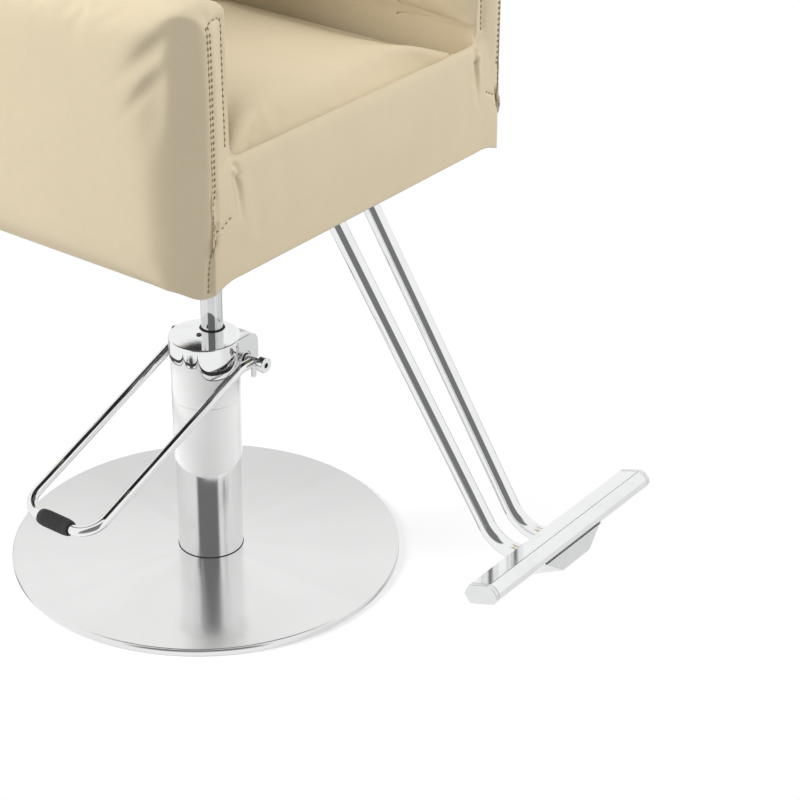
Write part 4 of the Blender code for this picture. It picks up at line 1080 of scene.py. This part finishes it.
class CHAIR_OT_footrest(bpy.types.Operator):
    """Footrest: bent tubes, bar with its end caps, and the wedge bracket"""

    bl_idname = "chair.footrest"
    bl_label = "Footrest"

    def execute(self, context):
        sizes = context.scene.chair_sizes
        section = bar_section()
        low, high, _ = extent("footrest_bar")
        rise = (TUBE_TOP[2] - TUBE_FOOT[2]) / (TUBE_FOOT[0] - TUBE_TOP[0])
        run = extent("footrest_tube_left")[1][2] - sizes.tube
        bend = TUBE_TOP[0] - (run - TUBE_TOP[2]) / rise
        for side, word in ((1.0, "left"), (-1.0, "right")):
            upper, lower = side * TUBE_TOP[1], side * TUBE_FOOT[1]
            points = [(TUBE_START, upper, run), (bend, upper, run),
                      (TUBE_FOOT[0], lower, TUBE_FOOT[2]), (TUBE_END, lower, TUBE_FOOT[2])]
            tube = swept(rounded(points, TUBE_BEND_R, 18), sizes.tube, (0.0, 1.0, 0.0), 40)
            piece(f"tube_{word}", tube, "plated_chrome", "seat", "chrome", f"footrest_tube_{word}")
            ends = sorted((side * (high[1] + 0.0002), side * extent("bar_end_cap_left")[1][1]))
            cap = extruded(section, *ends, edge=0.0006, axes=(0, 2, 1))
            piece(f"bar_cap_{word}", cap, "satin_casting", "seat", "aluminium", f"bar_end_cap_{word}")
        bar = extruded(section, low[1], high[1], edge=0.0003, axes=(0, 2, 1))
        piece("bar_body", bar, "bright_bar", "seat", "aluminium", "footrest_bar")
        # Thin dark cords along the bar's top crease and along the joint of bar and bracket: painted
        # shade lines
        crease = np.insert(tilted((0.0138, 0.0117)), 1, 0.0)
        joint = np.array([0.5598, 0.0, 0.2096])
        lines = []
        for spot, reach in ((crease, high[1] - 0.001), (joint, 0.0595)):
            run = np.linspace(-reach, reach, 5)[:, None] * (0.0, 1.0, 0.0)
            lines.append(swept(spot + run, 0.0003, (0.0, 0.0, 1.0), sides=8, edge=0.0002))
        piece("bar_shade_lines", joined(*lines), "moulded_rubber", "seat", "black_rubber")
        wedge = np.array([(0.512, 0.042, 0.166), (0.5645, 0.0284, 0.1882), (0.5587, 0.0633, 0.2125),
                          (0.512, 0.0633, 0.2005)])
        points = np.concatenate([wedge * (1, -1, 1), wedge])
        faces = np.array([(0, 1, 2, 3), (7, 6, 5, 4), (0, 4, 5, 1),
                          (1, 5, 6, 2), (2, 6, 7, 3), (3, 7, 4, 0)])
        mesh = mesh_of("bar_bracket", (points, faces))
        made = placed("bar_bracket", mesh, "satin_casting", "seat", ("toe_plate",))
        soften = made.modifiers.new("edges", "BEVEL")
        soften.width = 0.0012
        soften.segments = 3
        soften.harden_normals = True
        return {"FINISHED"}


def ramped(values, start, span):
    """A share that grows straight from 0 at a start to 1 after a span."""
    return np.clip((values - start) / span, 0.0, 1.0)


def upholstered(pad, fill, *nodes):
    """Gives a pad its cover and sets it in the place of its nodes."""
    pad.data.shade_smooth()
    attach(pad, "seat")
    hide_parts(*nodes)
    pad.data.materials.clear()
    pad.data.materials.append(bpy.data.materials["leatherette_cover"])


def edge_loop(first, last, radius, level):
    """Even points round a pad's face: a rectangle with round corners, at one level."""
    edge = rounded([(first, -WELT_HALF), (last, -WELT_HALF), (last, WELT_HALF), (first, WELT_HALF)],
                   radius, 8, closed=True)
    edge = resampled(np.concatenate([edge, edge[:1]]), WELT_STEP)[:-1]
    return np.concatenate([edge, np.full((len(edge), 1), level)], axis=1)


def corded(name, pad, starts, heading, radius):
    """Presses a groove round a pad's face and lays a covered cord in it."""
    path, _ = laid(tree_of(pad), starts, heading)
    pressed(pad, path, WELT_GROOVE, WELT_SPREAD)
    mesh = mesh_of(name, welted(path + np.array(heading) * WELT_SINK, radius))
    placed(name, mesh, "leatherette_cover", "seat")


def laid_in_front(tree, flat, side):
    """A path (y, z) given for the left side, laid on the front of either side, with its normals."""
    ahead, spacing = 0.40, 0.003
    even = resampled(flat, spacing)
    starts = np.concatenate([np.full((len(even), 1), ahead), even], axis=1) * (1.0, side, 1.0)
    return laid(tree, starts, (-1.0, 0.0, 0.0))


class CHAIR_OT_arms(bpy.types.Operator):
    """Padded arms with the sewn front panel between them"""

    bl_idname = "chair.arms"
    bl_label = "Arms"

    def execute(self, context):
        sizes = context.scene.chair_sizes
        boxes = [block(*PANEL_BOX)]
        for side in (1.0, -1.0):
            for low, high, radius in ARM_BOXES:
                ends = np.sort(np.array([low, high]) * (1.0, side, 1.0), axis=0)
                boxes.append(block(*ends, radius))
        boxes = [(np.maximum(points, (-1.0, -1.0, BOX_FLOOR)), faces) for points, faces in boxes]
        pad = pad_body("arm_pads", joined(*boxes), sizes.voxel)
        points = coordinates(pad.data)
        wide = np.abs(points[:, 1])
        flat = np.stack([np.full(len(points), 0.0), wide, points[:, 2]], -1)
        seam = np.concatenate([np.zeros((len(SEAM_FRONT), 1)), SEAM_FRONT], axis=1)
        # Held still: the front seam, the hem, the panel's rear and the faces towards cushion and back
        on_front = points[:, 0] > FRONT_X
        held = on_front & (nearest(flat, seam)[0] < SEAM_HOLD)
        held |= points[:, 2] < HEM_Z + 0.0020
        held |= (wide < ROOM_HALF) & (points[:, 0] < PANEL_REAR + 0.0065)
        held |= (wide < ROOM_HALF + 0.0035) & ((points[:, 2] < ROOM_TOP) | (points[:, 0] < ROOM_BACK))
        swollen(pad, held, np.where(on_front & (wide < PANEL_HALF), PANEL_SWELL, sizes.arm_swell))
        # The panel's rear stays flat against the cushion
        points = coordinates(pad.data)
        close = (np.abs(points[:, 1]) < ROOM_HALF + 0.0002) & (points[:, 2] < ROOM_TOP + 0.005)
        close &= (points[:, 0] > 0.10) & (points[:, 0] < PANEL_REAR)
        points[:, 0] = np.where(close, PANEL_REAR, points[:, 0])
        store(pad.data, points)
        split_near(refined(pad), *FOLD_BOX)
        points = coordinates(pad.data)
        wide = np.abs(points[:, 1])
        # The panel's upper edge leans back
        crown = ramped(points[:, 2], LEAN_FOOT, LEAN_RISE) ** 2
        crown *= ramped(points[:, 0], PANEL_REAR + 0.0015, 0.008)
        points[:, 0] -= LEAN_DEPTH * crown * ramped(wide, PANEL_HALF, -0.030)
        # The side turns in towards the front, and the lower front corner hangs
        turn = TURN_SOFT * np.logaddexp(0.0, (points[:, 0] - TURN_START) / TURN_SOFT)
        limit = ARM_SIDE - TURN_SLOPE * turn
        blend = 0.0010
        wide = limit - blend * np.logaddexp(0.0, (limit - wide) / blend)
        points[:, 1] = np.sign(points[:, 1]) * wide
        points[:, 2] = np.maximum(points[:, 2], HEM_Z)
        away = ((points[:, 0] - CORNER_X) ** 2 + (wide - CORNER_Y) ** 2) / CORNER_REACH ** 2
        share = ramped(points[:, 2], HEM_Z + 0.046, -0.046)
        points[:, 2] -= CORNER_DROP * np.exp(-away) * share
        store(pad.data, points)
        upholstered(pad, 0.9, "arm_left", "arm_right", "front_panel")
        self.sew(pad, sizes)
        return {"FINISHED"}

    def sew(self, pad, sizes):
        """Presses the seams, darts and folds of the front, and lays the stitches in them, with dark
        cords as painted shade in the seams and the pucker.
        """
        sewn = (("seam", SEAM_FRONT, sizes.seam_depth, 0.0040), ("second", SEAM_SECOND, 0.0008, 0.0034),
                ("crease", CREASE, 0.0012, 0.0036), ("dart", DART, 0.0009, 0.0032),
                ("pucker", PUCKER, 0.0022, 0.0030), ("inner", SEAM_INNER, 0.0020, 0.0032),
                ("over", SEAM_OVER, 0.0018, 0.0032))
        # Thin dark cords along the seams and in the pucker's fold: painted shade of these grooves
        shade_line_radius = {"seam": 0.00025, "inner": 0.00025, "over": 0.00025, "pucker": 0.0007}
        rows = []
        for side in (1.0, -1.0):
            tree = tree_of(pad)
            for flat, depth, spread, fade in (*((*row[1:], 0.0) for row in sewn), *FOLDS):
                line, _ = laid_in_front(tree, flat, side)
                pressed(pad, line, depth, spread, fade)
            tree = tree_of(pad)
            for name, flat, _, _ in sewn:
                path, facing = laid_in_front(tree, flat, side)
                if name in shade_line_radius:
                    rows.append(swept(path, shade_line_radius[name], (1.0, 0.0, 0.0), sides=6, edge=0.0002))
                if name not in ("crease", "pucker"):
                    rows.append(stitches(path, facing, sizes, sizes.thread * 0.6))
        mesh = mesh_of("arm_stitches", joined(*rows))
        placed("arm_stitches", mesh, "sewing_thread", "seat")


class CHAIR_OT_seat(bpy.types.Operator):
    """Padded seat cushion with a corded edge, and the dust cloths below seat and arms"""

    bl_idname = "chair.seat"
    bl_label = "Seat"

    def execute(self, context):
        sizes = context.scene.chair_sizes
        pad = pad_body("seat_pad", block(*SEAT_BOX), sizes.voxel)
        points = coordinates(pad.data)
        foot, flank, face, flank_swell = 0.6020, 0.2262, 0.66, 0.002
        held = (points[:, 2] < foot) | (np.abs(points[:, 1]) > flank)
        swollen(pad, held, np.where(points[:, 2] > face, sizes.seat_swell, flank_swell))
        store(pad.data, np.clip(coordinates(pad.data), *SEAT_ROOM))
        upholstered(refined(pad), 0.8, "seat_cushion")
        starts = edge_loop(first=-0.190, last=0.2270, radius=0.022, level=0.80)
        corded("seat_welt", pad, starts, (0.0, 0.0, -1.0), sizes.welt)
        for name, side in (("arm_dust_cloth_left", 1.0), ("arm_dust_cloth_right", -1.0)):
            rear, front, inner, outer = -0.296, 0.205, side * 0.2345, side * 0.3000
            outline = rounded([(rear, inner), (front, inner), (front, outer), (rear, outer)],
                              0.014, 5, closed=True)
            mesh = mesh_of(name, extruded(outline, HEM_Z - 0.0013, HEM_Z - 0.0003, edge=0.0003))
            cloth = placed(name, mesh, "dust_cloth", "seat")
        self.lining()
        return {"FINISHED"}

    def lining(self):
        """The cloth below the seat board: a grid rippled by a sin(u) sin(v), open round the bolts."""
        low, high, middle = extent("dust_cover")
        rows, columns, margin = 72, 68, 0.001
        x, y = np.meshgrid(np.linspace(low[0] + margin, high[0] - margin, rows),
                           np.linspace(low[1] + margin, high[1] - margin, columns), indexing="ij")
        ripple = 0.0004 * np.sin(41.0 * x + 9.0 * y) * np.sin(53.0 * y - 7.0 * x)
        points = np.stack([x, y, middle[2] + ripple], axis=-1).reshape(-1, 3)
        faces = grid_faces(rows, columns, around=False)
        centre = points[faces].mean(axis=1)
        bolts = np.array([extent(f"plate_bolt_{number}")[2] for number in range(1, 5)])
        away = np.linalg.norm(centre[:, None, :2] - bolts[None, :, :2], axis=-1).min(axis=1)
        used, faces = np.unique(faces[away > 0.012], return_inverse=True)
        mesh = mesh_of("seat_dust_cloth", (points[used], faces.reshape(-1, 4)))
        cloth = placed("seat_dust_cloth", mesh, "dust_cloth", "seat", ("dust_cover",))
        body = cloth.modifiers.new("body", "SOLIDIFY")
        body.thickness = 0.0008
        body.offset = 0.0
        baked(cloth)


def leaned(points):
    """Points given as height up the back, side and depth behind its face, set on the leaning back."""
    height, side, depth = np.asarray(points, float).T
    x = BACK_FOOT[0] - depth * np.cos(BACK_LEAN) - height * np.sin(BACK_LEAN)
    z = BACK_FOOT[2] - depth * np.sin(BACK_LEAN) + height * np.cos(BACK_LEAN)
    return np.stack([x, side, z], axis=-1)


def depth_behind(points):
    """How far points lie behind the plane of the back's front face."""
    away = points - BACK_FOOT
    return -(away[:, 0] * np.cos(BACK_LEAN) + away[:, 2] * np.sin(BACK_LEAN))


class CHAIR_OT_back(bpy.types.Operator):
    """Padded back with a corded edge, and its covered rear shell"""

    bl_idname = "chair.back"
    bl_label = "Back"

    def execute(self, context):
        sizes = context.scene.chair_sizes
        points, faces = block(*BACK_BOX)
        pad = pad_body("back_pad", (leaned(points), faces), sizes.voxel)
        points = coordinates(pad.data)
        depth = depth_behind(points)
        rear, flank, face, flank_swell = 0.0770, 0.2270, 0.03, 0.004
        held = (depth > rear) | (np.abs(points[:, 1]) > flank)
        swollen(pad, held, np.where(depth < face, sizes.back_swell, flank_swell))
        points = coordinates(pad.data)
        points[:, 1] = np.clip(points[:, 1], -BACK_ROOM, BACK_ROOM)
        store(pad.data, points)
        upholstered(refined(pad), 0.8, "back_cushion")
        starts = leaned(edge_loop(first=0.024, last=0.5200, radius=0.026, level=-0.20))
        heading = (-float(np.cos(BACK_LEAN)), 0.0, -float(np.sin(BACK_LEAN)))
        corded("back_welt", pad, starts, heading, sizes.welt)
        low = (HEM_Z + 0.004 - BACK_FOOT[2]) / np.cos(BACK_LEAN)
        points, faces = block((low + 0.001, -SHELL_HALF, SHELL_FACE),
                              (SHELL_TOP, SHELL_HALF, SHELL_REAR), SHELL_EDGE)
        shell = pad_body("shell_pad", (leaned(points), faces), voxel=0.005)
        points = coordinates(shell.data)
        held = (depth_behind(points) < SHELL_REAR - 0.0060) | (np.abs(points[:,
                                                                             1]) > SHELL_HALF - 0.0085)
        swollen(shell, held, cap=0.006)
        upholstered(refined(shell), 0.9, "back_shell")
        return {"FINISHED"}


class CHAIR_OT_stage(bpy.types.Operator):
    """Pale floor, soft lights, white surroundings and the camera"""

    bl_idname = "chair.stage"
    bl_label = "Stage"

    def execute(self, context):
        scene = context.scene
        scene.view_settings.view_transform = "Standard"
        self.surroundings(scene)
        self.floor(scene)
        self.lamp(scene, "right_lamp", (2.7, 1.5, 2.7), (0.1, 0.0, 0.5), 2.2, 82.0)
        self.lamp(scene, "left_lamp", (-2.3, -2.4, 2.6), (0.0, 0.0, 0.5), 2.0, 150.0)
        self.camera(scene)
        return {"FINISHED"}

    def surroundings(self, scene):
        """White all round; mirrors also meet the dim part of the room on the camera's side."""
        world = bpy.data.worlds.new("studio_room")
        world.use_nodes = True
        scene.world = world
        make = Maker(world.node_tree)
        heading = make.node("ShaderNodeTexCoord", output="Generated")
        across, along = make.axis(heading, "X"), make.axis(heading, "Y")
        level = (across * across + along * along + 1e-6) ** 0.5
        rise = make.axis(heading, "Z")
        below = make.ramp(rise, -0.16, 0.0, 1.0, 0.0)
        near = make.ramp(rise, -0.450, -0.415, 0.0, 0.55)
        # Dim parts of the room: heading, half width and soft edge in degrees, share above and below
        dim = 0.0
        zones = ((-55.0, 37.0, 5.0, 0.80, near), (157.0, 9.0, 4.0, 0.0, 0.60),
                 (84.0, 7.0, 5.0, 0.0, 0.40), (55.0, 45.0, 20.0, 0.0, 0.16))
        for centre, half, soft, over, under in zones:
            turn = np.radians(centre)
            facing = (across * float(np.cos(turn)) + along * float(np.sin(turn))) / level
            outer, inner = np.cos(np.radians([half + soft, half - soft])).tolist()
            zone = make.ramp(facing, outer, inner)
            dim = zone * (over * (1.0 - below) + under * below) + dim
        dim = dim * make.ramp(level, 0.30, 0.60)
        mirror = make.mix(dim, (1.0, 1.0, 1.0), (0.0, 0.0, 0.0))
        path = {name: make.node("ShaderNodeLightPath", output=name)
                for name in ("Is Camera Ray", "Is Glossy Ray", "Is Transmission Ray")}
        seen = (path["Is Camera Ray"] + path["Is Glossy Ray"] + path["Is Transmission Ray"]).least(1.0)
        colour = make.mix(path["Is Glossy Ray"], (1.0, 1.0, 1.0), mirror)
        show = make.node("ShaderNodeBackground", None, {"Color": colour, "Strength": 1.0})
        light = make.node("ShaderNodeBackground", None, {"Color": (1.0, 1.0, 1.0), "Strength": 0.66})
        both = make.node("ShaderNodeMixShader", None, {0: seen, 1: light, 2: show})
        make.node("ShaderNodeOutputWorld", None, {"Surface": both})

    def floor(self, scene):
        """A wide pale disc just below the base."""
        profile = [(radius, -0.0006) for radius in (0.0, 0.5, 1.5, 3.0)]
        mesh = mesh_of("studio_floor", turned(profile, (0.1, 0.0, 0.0), 64))
        ground = bpy.data.objects.new("studio_floor", mesh)
        mesh.materials.append(finished("pale_floor", floor_finish))
        scene.collection.objects.link(ground)

    def lamp(self, scene, name, place, target, size, power):
        """A broad soft lamp turned to a target; mirrors see the white room instead of it."""
        data = bpy.data.lights.new(name, "AREA")
        data.shape = "DISK"
        data.size = size
        data.energy = power
        made = bpy.data.objects.new(name, data)
        made.location = place
        heading = np.asarray(target, float) - np.asarray(place, float)
        made.rotation_euler = self.turned_to(heading)
        made.visible_glossy = False
        scene.collection.objects.link(made)

    def turned_to(self, heading):
        """Angles that point an object's -Z along a heading, its Y upwards."""
        x, y, z = (float(part) for part in unit(heading))
        return float(np.arccos(-z)), 0.0, float(np.arctan2(y, x) - np.pi / 2)

    def camera(self, scene):
        """The photograph's viewpoint and framing."""
        data = bpy.data.cameras.new("front_camera")
        data.sensor_width = 36.0
        data.lens = 100.92
        data.shift_x = 0.06997
        data.shift_y = -0.0308
        data.clip_end = 50.0
        made = bpy.data.objects.new("front_camera", data)
        made.location = (1.72484, -1.93215, 1.62535)
        made.rotation_euler = self.turned_to(np.array([-0.54341485, 0.69581901, -0.46961283]))
        scene.collection.objects.link(made)
        scene.camera = made


class CHAIR_PT_panel(bpy.types.Panel):
    """The chair's builders and sizes in the sidebar"""

    bl_idname = "CHAIR_PT_panel"
    bl_label = "Hairdressing Chair"
    bl_space_type = "VIEW_3D"
    bl_region_type = "UI"
    bl_category = "Chair"

    def draw(self, context):
        for step in STEPS:
            self.layout.operator(step.bl_idname)
        for group in (context.scene.chair_sizes, context.scene.chair_colours):
            for name in group.bl_rna.properties.keys():
                if name not in ("rna_type", "name"):
                    self.layout.prop(group, name)


STEPS = (CHAIR_OT_finishes, CHAIR_OT_base, CHAIR_OT_pump, CHAIR_OT_lever, CHAIR_OT_ram,
         CHAIR_OT_footrest, CHAIR_OT_arms, CHAIR_OT_seat, CHAIR_OT_back, CHAIR_OT_stage)
CLASSES = (ChairSizes, ChairColours, *STEPS, CHAIR_PT_panel)


def register():
    """Adds the classes and the scene's groups of settings."""
    for item in CLASSES:
        bpy.utils.register_class(item)
    bpy.types.Scene.chair_sizes = bpy.props.PointerProperty(type=ChairSizes)
    bpy.types.Scene.chair_colours = bpy.props.PointerProperty(type=ChairColours)


def unregister():
    """Takes them away again."""
    del bpy.types.Scene.chair_colours
    del bpy.types.Scene.chair_sizes
    for item in reversed(CLASSES):
        bpy.utils.unregister_class(item)


def main():
    """Builds the chair step by step."""
    register()
    bpy.ops.chair.finishes()
    bpy.ops.chair.base()
    bpy.ops.chair.pump()
    bpy.ops.chair.lever()
    bpy.ops.chair.ram()
    bpy.ops.chair.footrest()
    bpy.ops.chair.arms()
    bpy.ops.chair.seat()
    bpy.ops.chair.back()
    bpy.ops.chair.stage()


if __name__ == "__main__":
    main()
